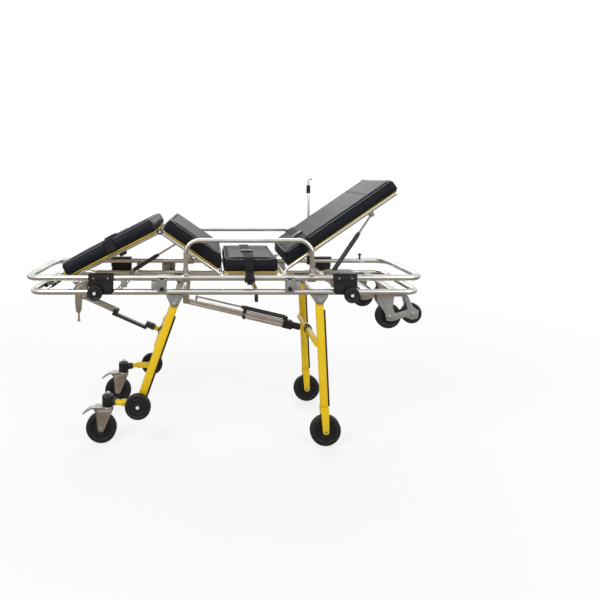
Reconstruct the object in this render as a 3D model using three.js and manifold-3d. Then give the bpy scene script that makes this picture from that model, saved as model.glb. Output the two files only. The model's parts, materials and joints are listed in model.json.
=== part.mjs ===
// Ambulance cot: a stretcher that lifts off a wheeled undercarriage with folding legs.
// Millimetres, +Z up, +X to the head end, -Y to the near side. The origin is on the floor, under the middle.
import * as THREE from "three";
import { mergeVertices } from "three/addons/utils/BufferGeometryUtils.js";
import Module from "manifold-3d";

const wasm = await Module();
wasm.setup();

// ---------------------------------------------------------------- driving dimensions
const GAP = 0.3; // between two pieces that touch
const RUN = 0.7; // radial clearance of a turning or sliding fit

// stretcher ring
const RING_LENGTH = 1960;
const RING_WIDTH = 560;
const RAIL_R = 15;
const RAIL_Z = 820;
const RING_CORNER = 75; // centreline radius
const RAIL_Y = RING_WIDTH / 2 - RAIL_R;
const RAIL_TOP = RAIL_Z + RAIL_R;

// undercarriage ring
const LOWER_R = 14;
const LOWER_Z = 751;
const LOWER_FOOT_X = -955;
const LOWER_HEAD_X = 958;
const LOWER_BOTTOM = LOWER_Z - LOWER_R;

// legs
const LEG_Y = 255;
const LEG_WIDE = 40; // along the cot
const LEG_THICK = 26; // across the cot
const PIVOT_R = 10;
const FRONT_PIVOT = [-239, 694];
const FRONT_BEND = [-412, 207];
const REAR_PIVOT = [466, 707];
const REAR_AXLE_X = 495;
const CROSS_R = 16; // cross-tubes between the legs
const FRONT_CROSS = [-326, 485];
const REAR_CROSS = [456, 495];

// wheels
const WHEEL_R = 75;
const WHEEL_W = 32;
const AUX_R = 62.5;
const AUX_W = 28;
const AUX_Y = LEG_Y + LEG_THICK / 2 + AUX_W / 2 + 7;
const AXLE_R = 5;
const CASTER_Y = 226;
const SOCKET_X = -572;
const SOCKET_R = 28;
const SOCKET_Z = [181, 236];
const TRAIL = 32;

// braces
const FRONT_BRACE_A = [-741, 669]; // pivot on the undercarriage
const REAR_BRACE_A = [-198, 648];
const LEVER = [-884, 751]; // shaft of the release lever
const FORK_SHORT = 44; // from a cross-tube's axis to the end of the fork
const LUG_REACH = 58; // from a cross-tube's axis to the end of its lug

// loading wheels
const LOAD_BIG = [812, 625, 62.5];
const LOAD_SMALL = [927, 637, 50];
const LOAD_Y = 220;
const LOAD_W = 30;

// stretcher wheels
const SMALL_R = 37.5;
const SMALL_W = 20;
const FOOT_WHEEL = [-621, 752];
const HEAD_WHEEL = [614, 742];

// sections of the mattress platform
const HINGE_Z = 830;
const HINGE_R = 9;
const THIGH_HINGE_X = -15;
const BACK_HINGE_X = 297;
const THIGH_ANGLE = 35;
const THIGH_LENGTH = 365;
const LEG_ANGLE = 27.2;
const BACK_ANGLE = 34.5;
const FRAME_R = 9;
const PAD_Y = 250; // half width of a cushion
const PAD_THICK = 66;
const PAD_RISE = 16; // cushion above the thigh and leg frames
const BACK_FRAME_RISE = 14.5; // the back frame lies on the ring
const BACK_PAD_RISE = 26;
const BACK_PAD_THICK = 62;

// drip pole: its hinge on the far rail
const POLE = [510, RAIL_Y + 8, RAIL_Z + 30];

// gas springs
const BACK_SPRING = { base: [547, 815], d: 540, n: -20, y: -150, cylinder: 255 };
const THIGH_SPRING = { base: [-486, 806], d: 255, n: -16, y: 0, cylinder: 165 };
const GAS_R = 11;
const GAS_ROD_R = 5;

// ---------------------------------------------------------------- solids from three.js geometries
const V = (x, y, z) => new THREE.Vector3(x, y, z);
const rad = THREE.MathUtils.degToRad;

function solid(geometry) {
  const g = geometry.index ? geometry.toNonIndexed() : geometry.clone();
  g.deleteAttribute("normal");
  g.deleteAttribute("uv");
  const m = mergeVertices(g, 1e-3);
  const index = m.index.array;
  let faces = [];
  for (let i = 0; i < index.length; i += 3) {
    const [a, b, c] = [index[i], index[i + 1], index[i + 2]];
    if (a !== b && b !== c && c !== a) faces.push([a, b, c]);
  }
  const build = () =>
    new wasm.Manifold(
      new wasm.Mesh({ numProp: 3, vertProperties: m.attributes.position.array, triVerts: new Uint32Array(faces.flat()) }),
    );
  const made = build();
  if (made.volume() >= 0) return made;
  faces = faces.map(([a, b, c]) => [a, c, b]);
  return build();
}

function geometryOf(body) {
  const { vertProperties, triVerts } = body.getMesh();
  const g = new THREE.BufferGeometry();
  g.setAttribute("position", new THREE.BufferAttribute(new Float32Array(vertProperties), 3));
  g.setIndex(new THREE.BufferAttribute(new Uint32Array(triVerts), 1));
  g.computeVertexNormals();
  return g;
}

const join = (...bodies) => bodies.flat().reduce((a, b) => a.add(b));
const cut = (body, ...tools) => tools.flat().reduce((a, b) => a.subtract(b), body);

function box(x0, x1, y0, y1, z0, z1) {
  return solid(new THREE.BoxGeometry(x1 - x0, y1 - y0, z1 - z0).translate((x0 + x1) / 2, (y0 + y1) / 2, (z0 + z1) / 2));
}

function rod(p, q, radius, sides = 12) {
  const axis = q.clone().sub(p);
  const g = new THREE.CylinderGeometry(radius, radius, axis.length(), sides);
  g.applyQuaternion(new THREE.Quaternion().setFromUnitVectors(V(0, 1, 0), axis.clone().normalize()));
  const mid = p.clone().add(q).multiplyScalar(0.5);
  return solid(g.translate(mid.x, mid.y, mid.z));
}

const rodY = (x, z, y0, y1, radius, sides = 12) => rod(V(x, y0, z), V(x, y1, z), radius, sides);

// A polyline whose corners are arcs of the given radius; its ends stay where they are unless it is closed.
function arced(points, radius, steps = 4, closed = false) {
  const n = points.length;
  return points.flatMap((p, i) => {
    if (!closed && (i === 0 || i === n - 1)) return [p.clone()];
    const a = points[(i + n - 1) % n].clone().sub(p).normalize();
    const b = points[(i + 1) % n].clone().sub(p).normalize();
    const turn = Math.PI - a.angleTo(b);
    const r = Array.isArray(radius) ? radius[i] : radius;
    if (turn < 1e-3 || r <= 0) return [p.clone()];
    const cutBack = r * Math.tan(turn / 2);
    const centre = p.clone().add(a.clone().add(b).normalize().multiplyScalar(r / Math.cos(turn / 2)));
    const from = p.clone().addScaledVector(a, cutBack).sub(centre);
    const to = p.clone().addScaledVector(b, cutBack).sub(centre);
    return Array.from({ length: steps + 1 }, (_, k) => {
      const t = k / steps;
      return centre
        .clone()
        .addScaledVector(from, Math.sin((1 - t) * turn) / Math.sin(turn))
        .addScaledVector(to, Math.sin(t * turn) / Math.sin(turn));
    });
  });
}

// A curve whose equal steps fall on the points of a polyline.
class Polyline extends THREE.Curve {
  constructor(points) {
    super();
    this.points = points;
  }
  getPointAt(u, target = new THREE.Vector3()) {
    const at = u * (this.points.length - 1);
    const i = Math.min(Math.floor(at + 1e-9), this.points.length - 2);
    return target.copy(this.points[i]).lerp(this.points[i + 1], at - i);
  }
  getPoint(u, target) {
    return this.getPointAt(u, target);
  }
  getTangentAt(u, target = new THREE.Vector3()) {
    const p = this.points;
    const i = Math.round(u * (p.length - 1));
    const before = p[i].clone().sub(p[Math.max(i - 1, 0)]).normalize();
    const after = p[Math.min(i + 1, p.length - 1)].clone().sub(p[i]).normalize();
    return target.copy(before).add(after).normalize();
  }
}

function circle(radius, sides) {
  return new THREE.Shape(
    Array.from({ length: sides }, (_, k) => {
      const a = (k / sides) * 2 * Math.PI;
      return new THREE.Vector2(radius * Math.cos(a), radius * Math.sin(a));
    }),
  );
}

function tube(points, radius, sides = 12) {
  return solid(
    new THREE.ExtrudeGeometry(circle(radius, sides), {
      steps: points.length - 1,
      extrudePath: new Polyline(points),
      bevelEnabled: false,
    }),
  );
}

// Outline points [u, v], with corners rounded, as a shape.
function outline(points, radius = 0, steps = 3) {
  const p = arced(points.map(([u, v]) => V(u, v, 0)), radius, steps, true);
  return new THREE.Shape(p.map((q) => new THREE.Vector2(q.x, q.y)));
}

function slab(shape, depth) {
  return new THREE.ExtrudeGeometry(shape, { depth, steps: 1, bevelEnabled: false, curveSegments: 6 });
}

// A plate with its outline in XZ, between two values of y.
function plateXZ(points, y0, y1, radius = 0, steps = 3) {
  return solid(slab(outline(points, radius, steps), y1 - y0).rotateX(Math.PI / 2).translate(0, y1, 0));
}

// A plate with its outline in XY, between two values of z.
function plateXY(points, z0, z1, radius = 0, steps = 3) {
  return solid(slab(outline(points, radius, steps), z1 - z0).translate(0, 0, z0));
}

// A closed lathe body about an axis along y through (x, z); profile points are [radius, y].
function turned(profile, x, y, z, segments = 24) {
  const p = profile.map(([r, h]) => new THREE.Vector2(r, h));
  return solid(new THREE.LatheGeometry(p, segments).translate(x, y, z));
}

// A wheel: tyre and hub about a bored axle hole.
function wheel(x, y, z, radius, width, hub, bore, segments = 20) {
  const w = width / 2;
  const h = w + 1.5;
  return turned(
    [
      [bore, -h], [hub, -h], [radius * 0.8, -w], [radius, -w + 5],
      [radius, w - 5], [radius * 0.8, w], [hub, h], [bore, h], [bore, -h],
    ],
    x, y, z, segments,
  );
}

// ---------------------------------------------------------------- scene graph
const cot = new THREE.Group();
cot.name = "ambulance_cot";

const looks = {
  aluminium: [0xc9cbcc, 0.28, 1.0],
  cast: [0x7d7f80, 0.5, 0.8],
  steel: [0xb9bab8, 0.35, 1.0],
  yellow: [0xe2b90c, 0.35, 0.0],
  black: [0x17181a, 0.55, 0.0],
  tyre: [0x1b1c1e, 0.7, 0.0],
  vinyl: [0x1c1f26, 0.45, 0.0],
  webbing: [0x121316, 0.8, 0.0],
};

function add(name, body, look) {
  const [color, roughness, metalness] = looks[look];
  const mesh = new THREE.Mesh(geometryOf(body), new THREE.MeshStandardMaterial({ color, roughness, metalness }));
  mesh.name = name;
  cot.add(mesh);
}

// A ring of tube: two halves that meet at x = 0.
function ring(footX, headX, halfWidth, z, radius, corner, sides) {
  const half = (x) => {
    const over = x > 0 ? -20 : 20;
    return tube(
      arced([V(over, -halfWidth, z), V(x, -halfWidth, z), V(x, halfWidth, z), V(over, halfWidth, z)], corner, 3),
      radius, sides,
    );
  };
  return half(headX).add(half(footX));
}

// Points on a section of the platform: d along it from its hinge, n above its hinge line.
const along = (hinge, angle, side) => {
  const [c, s] = [Math.cos(rad(angle)), Math.sin(rad(angle))];
  return (d, n) => [hinge[0] + side * (d * c) - side * (n * s), hinge[1] + d * s + n * c];
};
const thighAt = along([THIGH_HINGE_X, HINGE_Z], THIGH_ANGLE, -1);
const KNEE = thighAt(THIGH_LENGTH, 0);
const legAt = along(KNEE, -LEG_ANGLE, -1);
const backAt = along([BACK_HINGE_X, HINGE_Z], BACK_ANGLE, 1);
const at = ([x, z], y) => V(x, y, z);

// ---------------------------------------------------------------- undercarriage
{
  const lowerY = RAIL_Y;
  let frame = ring(LOWER_FOOT_X + LOWER_R, LOWER_HEAD_X - LOWER_R, lowerY, LOWER_Z, LOWER_R, 60, 8);
  const cross = (x, r = 11) => rodY(x, LOWER_Z, -lowerY, lowerY, r, 12);
  // The brace pivots hang on cross-tubes as pairs of plates with a pin through them.
  const hanger = ([px, pz], crossX, halfGap, pin) => [
    ...[-1, 1].map((s) => {
      const [y0, y1] = [halfGap, halfGap + 5].map((v) => s * v).sort((a, b) => a - b);
      return plateXZ([[crossX - 24, LOWER_Z + 4], [crossX + 24, LOWER_Z + 4], [px + 14, pz - 12], [px - 14, pz - 12]], y0, y1, 8, 3);
    }),
    rodY(px, pz, -halfGap - 3, halfGap + 3, pin, 12),
  ];
  const flats = [700, 838].map((x) => box(x - 18, x + 18, -lowerY, lowerY, LOWER_Z - 6, LOWER_Z + 6));
  // Blocks on the side rails carry the stretcher ring.
  const saddles = [-330, 349].flatMap((x) =>
    [-1, 1].map((s) => box(x - 22, x + 22, s * lowerY - 11, s * lowerY + 11, LOWER_Z, RAIL_Z - RAIL_R - GAP)),
  );
  const post = box(-800, -716, -27, 27, LOWER_Z - 9, LOWER_Z + 5);
  frame = join(
    frame, cross(-741), cross(REAR_BRACE_A[0]), cross(158), cross(-520), flats, saddles, post,
    hanger(FRONT_BRACE_A, -752, 18, 5), hanger(REAR_BRACE_A, REAR_BRACE_A[0], 20, 5),
  );
  // bumper stubs under the side rails
  const stubs = [-1, 1].map((s) => rod(V(158, s * lowerY, LOWER_Z - 10), V(158, s * lowerY, 702), 9, 12));
  add("lower_frame", join(frame, stubs, rodY(...LEVER, -lowerY, lowerY, 6, 12)), "aluminium");
}

add(
  "floor_lock_post",
  join(
    plateXZ([[-792, LOWER_Z - 9 - GAP], [-760, LOWER_Z - 9 - GAP], [-760, 640], [-762, 588], [-786, 588], [-792, 640]], -15, 15, 3, 2),
    rod(V(-774, 0, 590), V(-774, 0, 541), 5, 12),
    rod(V(-774, 0, 545), V(-774, 0, 535), 8, 12),
  ),
  "steel",
);

// A pivot set: two castings under the side rails and the shaft that both legs turn on.
function pivotSet([px, pz]) {
  const top = LOWER_BOTTOM - GAP;
  const ends = [-1, 1].flatMap((s) => {
    const face = (a, b) => [a, b].map((v) => s * v).sort((p, q) => p - q);
    const plate = (a, b) =>
      plateXZ([[px - 40, top], [px + 40, top], [px + 40, top - 8], [px + 15, pz - 15], [px - 15, pz - 15], [px - 40, top - 8]], ...face(a, b), 6, 2);
    const half = LEG_THICK / 2;
    const roof = pz + PIVOT_R + 13;
    const parts = [plate(LEG_Y - half - 6, LEG_Y - half - 1), plate(LEG_Y + half + 1, LEG_Y + half + 6)];
    if (top - roof > 4) parts.push(box(px - 40, px + 40, ...face(LEG_Y - half - 6, LEG_Y + half + 6), top - 5, top));
    else parts.push(box(px - 40, px - 30, ...face(LEG_Y - half - 6, LEG_Y + half + 6), top - 5, top), box(px + 30, px + 40, ...face(LEG_Y - half - 6, LEG_Y + half + 6), top - 5, top));
    return parts;
  });
  return join(ends, rodY(px, pz, -LEG_Y - LEG_THICK / 2 - 9, LEG_Y + LEG_THICK / 2 + 9, PIVOT_R, 12));
}
add("front_pivot_set", pivotSet(FRONT_PIVOT), "cast");
add("rear_pivot_set", pivotSet(REAR_PIVOT), "cast");

// A leg blade: an oval tube between two points of a vertical plane.
function blade([x0, z0], [x1, z1], y, over0 = 0, over1 = 0) {
  const run = new THREE.Vector2(x1 - x0, z1 - z0);
  const length = run.length();
  const [w, t] = [LEG_WIDE / 2, LEG_THICK / 2];
  const shape = outline([[-w, -t], [w, -t], [w, t], [-w, t]], 10, 2);
  const g = slab(shape, length + over0 + over1).translate(0, 0, -over0);
  const zAxis = V(run.x, 0, run.y).normalize();
  const yAxis = V(0, 1, 0);
  const xAxis = yAxis.clone().cross(zAxis);
  g.applyMatrix4(new THREE.Matrix4().makeBasis(xAxis, yAxis, zAxis)).translate(x0, y, z0);
  return solid(g);
}
const toward = ([x0, z0], [x1, z1], reach) => {
  const l = Math.hypot(x1 - x0, z1 - z0);
  return [x0 + ((x1 - x0) * reach) / l, z0 + ((z1 - z0) * reach) / l];
};

// The lug on a cross-tube that a brace fork straddles.
function lug(crossAt, braceAt) {
  const tip = toward(crossAt, braceAt, LUG_REACH);
  const [dx, dz] = [(tip[0] - crossAt[0]) / LUG_REACH, (tip[1] - crossAt[1]) / LUG_REACH];
  const side = ([x, z], h) => [x - dz * h, z + dx * h];
  return [
    rodY(...crossAt, -22, 22, CROSS_R + 6, 12),
    plateXZ([side(crossAt, 12), side(tip, 10), side(tip, -10), side(crossAt, -12)], -6, 6, 0),
  ];
}

// ---------------------------------------------------------------- front legs
{
  const stubZ = (SOCKET_Z[0] + SOCKET_Z[1]) / 2;
  const one = (s) => {
    const y = s * LEG_Y;
    const socketY = s * CASTER_Y;
    const leg = blade(FRONT_PIVOT, FRONT_BEND, y, 14, 10);
    const stub = tube(
      arced([V(FRONT_BEND[0] + 28, y, FRONT_BEND[1] + 76), V(FRONT_BEND[0] - 8, y, stubZ), V(-500, y, stubZ), V(SOCKET_X + 10, socketY, stubZ)], [0, 40, 60, 0], 4),
      13, 10,
    );
    const sleeve = tube([V(FRONT_BEND[0] - 20, y, stubZ), V(-498, y, stubZ), V(SOCKET_X, socketY, stubZ)], 17, 10);
    const socket = rod(V(SOCKET_X, socketY, SOCKET_Z[0]), V(SOCKET_X, socketY, SOCKET_Z[1]), SOCKET_R, 14);
    const axle = rodY(-415, 204, y, s * (AUX_Y + AUX_W / 2 + 5), AXLE_R, 8);
    const boss = rodY(-415, 204, y, s * (AUX_Y - AUX_W / 2 - 1.5 - GAP), 9, 10);
    const cap = rodY(-415, 204, s * (AUX_Y + AUX_W / 2 + 1.5 + GAP), s * (AUX_Y + AUX_W / 2 + 5), 9, 10);
    const bore = rod(V(SOCKET_X, socketY, SOCKET_Z[0] - 5), V(SOCKET_X, socketY, SOCKET_Z[1] + 5), 8 + RUN, 10);
    const hole = rodY(...FRONT_PIVOT, y - 30, y + 30, PIVOT_R + RUN, 12);
    return cut(join(leg, stub, sleeve, socket, axle, boss, cap), bore, hole);
  };
  const cross = rodY(...FRONT_CROSS, -LEG_Y, LEG_Y, CROSS_R, 12);
  add("front_leg_frame", join(one(-1), one(1), cross, lug(FRONT_CROSS, FRONT_BRACE_A)), "yellow");

  for (const [side, s] of [["near", -1], ["far", 1]]) {
    const y = s * CASTER_Y;
    const axleX = SOCKET_X - TRAIL;
    const in_ = WHEEL_W / 2 + 3;
    const out = in_ + 4;
    const crownZ = SOCKET_Z[0] - GAP;
    const fork = [-1, 1].map((k) => {
      const [y0, y1] = [y + k * in_, y + k * out].sort((a, b) => a - b);
      return plateXZ(
        [[SOCKET_X + 24, crownZ], [SOCKET_X + 24, crownZ - 22], [axleX + 14, WHEEL_R - 16], [axleX - 14, WHEEL_R - 16], [axleX - 22, crownZ - 30], [axleX - 34, crownZ - 12], [axleX - 34, crownZ]],
        y0, y1, 6, 2,
      );
    });
    const yoke = join(
      fork,
      box(axleX - 34, SOCKET_X + 24, y - out, y + out, crownZ - 5, crownZ),
      rod(V(SOCKET_X, y, crownZ - 2), V(SOCKET_X, y, SOCKET_Z[1] + 14), 8, 12),
      rod(V(SOCKET_X, y, SOCKET_Z[1] + GAP), V(SOCKET_X, y, SOCKET_Z[1] + 11), 12, 6),
      rodY(axleX, WHEEL_R, y - out - 3, y + out + 3, AXLE_R, 8),
      rodY(axleX - 26, crownZ - 13, y - out, y + out, 4, 10),
    );
    add(`caster_yoke_${side}`, yoke, "steel");
    add(`caster_wheel_${side}`, wheel(axleX, y, WHEEL_R, WHEEL_R, WHEEL_W, 20, AXLE_R + RUN, 20), "tyre");
    // The brake pedal turns on the rod across the fork.
    const [bx, bz] = [axleX - 26, crownZ - 13];
    const pedal = cut(
      join(
        rodY(bx, bz, y - in_ + 1, y + in_ - 1, 8, 12),
        plateXZ([[bx, bz - 3], [bx, bz + 7], [bx - 20, bz + 9], [bx - 46, bz - 4], [bx - 66, bz - 22], [bx - 62, bz - 26], [bx - 42, bz - 11], [bx - 20, bz + 1]], y - 14, y + 14, 0),
      ),
      rodY(bx, bz, y - 40, y + 40, 4 + RUN, 10),
    );
    add(`caster_brake_${side}`, pedal, "steel");
    add(
      `aux_wheel_${side}`,
      wheel(-415, s * AUX_Y, 204, AUX_R, AUX_W, 16, AXLE_R + RUN, 16),
      "tyre",
    );
  }
}

// ---------------------------------------------------------------- rear legs
{
  const axle = [REAR_AXLE_X, WHEEL_R];
  const one = (s) => {
    const y = s * LEG_Y;
    const crown = toward(axle, REAR_PIVOT, WHEEL_R + 14);
    const leg = blade(REAR_PIVOT, crown, y, 14, 4);
    const in_ = WHEEL_W / 2 + 3;
    const fork = [-1, 1].map((k) => {
      const [y0, y1] = [y + k * in_, y + k * (in_ + 4)].sort((a, b) => a - b);
      const [a, b] = [toward(axle, REAR_PIVOT, WHEEL_R + 40), toward(axle, REAR_PIVOT, -14)];
      return plateXZ([[a[0] - 20, a[1]], [a[0] + 20, a[1]], [b[0] + 16, b[1]], [b[0] - 16, b[1]]], y0, y1, 10, 3);
    });
    const block = box(crown[0] - 19, crown[0] + 19, y - in_ - 4, y + in_ + 4, crown[1] - 8, crown[1] + 18);
    return cut(
      join(leg, fork, block, rodY(...axle, y - in_ - 8, y + in_ + 8, AXLE_R, 8)),
      rodY(...REAR_PIVOT, y - 30, y + 30, PIVOT_R + RUN, 12),
    );
  };
  const cross = rodY(...REAR_CROSS, -LEG_Y, LEG_Y, CROSS_R, 12);
  add("rear_leg_frame", join(one(-1), one(1), cross, lug(REAR_CROSS, REAR_BRACE_A)), "yellow");
  add("rear_wheel_near", wheel(...[REAR_AXLE_X, -LEG_Y, WHEEL_R], WHEEL_R, WHEEL_W, 20, AXLE_R + RUN, 20), "tyre");
  add("rear_wheel_far", wheel(...[REAR_AXLE_X, LEG_Y, WHEEL_R], WHEEL_R, WHEEL_W, 20, AXLE_R + RUN, 20), "tyre");
}

// ---------------------------------------------------------------- braces
// Bodies drawn along +X from a pivot at the origin, then turned to lie on the line from one point to another.
function laid(body, from, to, y = 0) {
  const angle = Math.atan2(to[1] - from[1], to[0] - from[0]);
  const g = geometryOf(body).rotateY(-angle).translate(from[0], y, from[1]);
  return solid(g);
}

{
  // front: a channel with a bar that slides in it and forks round the lug
  const length = Math.hypot(FRONT_CROSS[0] - FRONT_BRACE_A[0], FRONT_CROSS[1] - FRONT_BRACE_A[1]);
  const channelLength = 190;
  const channel = cut(
    box(-12, channelLength, -15, 15, -12, 12),
    box(-20, channelLength + 10, -11.5, 11.5, -8.5, 20),
    rodY(0, 0, -20, 20, 5 + RUN, 12),
    [50, 90, 130].map((x) => rodY(x, 2, -20, 20, 4, 6)),
  );
  add("front_brace_channel", laid(channel, FRONT_BRACE_A, FRONT_CROSS), "steel");
  const forkEnd = length - FORK_SHORT;
  const start = 172;
  const bar = join(
    box(start, forkEnd - 38, -13, 13, -27, -12 - GAP),
    [-1, 1].flatMap((s) => [
      box(start, start + 26, ...[s * 15.6, s * 17.4].sort((a, b) => a - b), -27, 10),
      box(start, start + 26, ...[s * 12, s * 17.4].sort((a, b) => a - b), -27, -12 - GAP),
      box(forkEnd - 52, forkEnd, ...[s * 8, s * 14].sort((a, b) => a - b), -14, 14),
    ]),
    box(forkEnd - 50, forkEnd - 38, -14, 14, -27, 14),
  );
  add("front_brace_bar", laid(bar, FRONT_BRACE_A, FRONT_CROSS), "black");
}

{
  // rear: a bar in a wider sleeve that forks round the lug, with a gas spring above it
  const length = Math.hypot(REAR_CROSS[0] - REAR_BRACE_A[0], REAR_CROSS[1] - REAR_BRACE_A[1]);
  const sleeveStart = 314;
  const forkEnd = length - FORK_SHORT;
  const gasN = 33;
  const bar = join(
    cut(box(-14, 346, -15, 15, -15, 15), rodY(0, 0, -20, 20, 5 + RUN, 12)),
    box(46, 58, -5, 5, 10, gasN),
    rodY(52, gasN, -5, 5, 7, 10),
  );
  add("rear_brace_bar", laid(bar, REAR_BRACE_A, REAR_CROSS), "aluminium");
  const sleeve = join(
    cut(box(sleeveStart, forkEnd - 44, -20, 20, -20, 20), box(sleeveStart - 10, forkEnd - 60, -15.7, 15.7, -15.7, 15.7)),
    [-1, 1].map((s) => {
      const [y0, y1] = [s * 8, s * 15].sort((a, b) => a - b);
      return box(forkEnd - 50, forkEnd, y0, y1, -15, 15);
    }),
    box(forkEnd - 86, forkEnd - 74, -5, 5, 18, gasN),
    rodY(forkEnd - 80, gasN, -5, 5, 7, 10),
    rod(V(sleeveStart + 12, 0, -18), V(sleeveStart + 12, 0, -30), 5, 8),
  );
  add("rear_brace_sleeve", laid(sleeve, REAR_BRACE_A, REAR_CROSS), "aluminium");
  const gasEnd = forkEnd - 80 - 7 - GAP;
  const gasStart = 300;
  add(
    "rear_gas_cylinder",
    laid(
      cut(rod(V(gasStart, 0, gasN), V(gasEnd, 0, gasN), GAS_R, 14), rod(V(gasStart - 5, 0, gasN), V(gasEnd - 12, 0, gasN), GAS_ROD_R + RUN, 10)),
      REAR_BRACE_A, REAR_CROSS,
    ),
    "black",
  );
  add("rear_gas_rod", laid(rod(V(52 + 7 + GAP, 0, gasN), V(gasStart + 6, 0, gasN), GAS_ROD_R, 10), REAR_BRACE_A, REAR_CROSS), "steel");
}

// ---------------------------------------------------------------- loading wheels
for (const [side, s] of [["near", -1], ["far", 1]]) {
  const top = LOWER_BOTTOM - GAP;
  const inner = LOAD_W / 2 + 3;
  const y = s * LOAD_Y;
  const shape = [[752, top + 18], [880, top + 18], [906, top - 14], [930, 672], [958, 655], [952, 618], [925, 608], [890, 622], [830, 602], [800, 604], [792, 640], [752, 700]];
  const hole = [[836, top - 14], [888, top - 14], [902, 662], [885, 652], [842, 640], [830, 668]];
  const plate = (a, b) => {
    const [y0, y1] = [y + a, y + b].sort((p, q) => p - q);
    return cut(plateXZ(shape, y0, y1, 6, 2), plateXZ(hole, y0 - 2, y1 + 2, 5, 2));
  };
  // Outside the wheels the casting reaches up beside the side rail, inside them it stays below the cross-bars.
  const under = (body) => body.subtract(box(700, 1000, y - 60, y + 60, LOWER_Z - 6 - GAP, LOWER_Z + 60));
  const bracket = join(
    under(plate(-inner - 5, -inner)),
    under(plate(inner, inner + 5)),
    box(756, 910, y - inner - 5, y + inner + 5, LOWER_Z - 16, LOWER_Z - 6 - GAP),
    rodY(LOAD_BIG[0], LOAD_BIG[1], y - inner - 8, y + inner + 8, AXLE_R, 8),
    rodY(LOAD_SMALL[0], LOAD_SMALL[1], y - inner - 8, y + inner + 8, AXLE_R, 8),
  );
  add(`load_bracket_${side}`, bracket, "cast");
  add(`load_wheel_big_${side}`, wheel(LOAD_BIG[0], y, LOAD_BIG[1], LOAD_BIG[2], LOAD_W, 16, AXLE_R + RUN, 16), "tyre");
  add(`load_wheel_small_${side}`, wheel(LOAD_SMALL[0], y, LOAD_SMALL[1], LOAD_SMALL[2], LOAD_W, 14, AXLE_R + RUN, 16), "tyre");
}

// ---------------------------------------------------------------- release lever at the foot end
{
  const [lx, lz] = LEVER;
  const lever = cut(
    join(
      rodY(lx, lz, -120, 120, 11, 14),
      box(lx - 34, lx, -110, -80, lz - 7, lz + 5),
      box(lx - 34, lx, 80, 110, lz - 7, lz + 5),
      rodY(lx - 34, lz - 1, -110, 110, 9, 12),
    ),
    rodY(lx, lz, -130, 130, 6 + RUN, 12),
  );
  add("release_lever", lever, "black");
}

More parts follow.
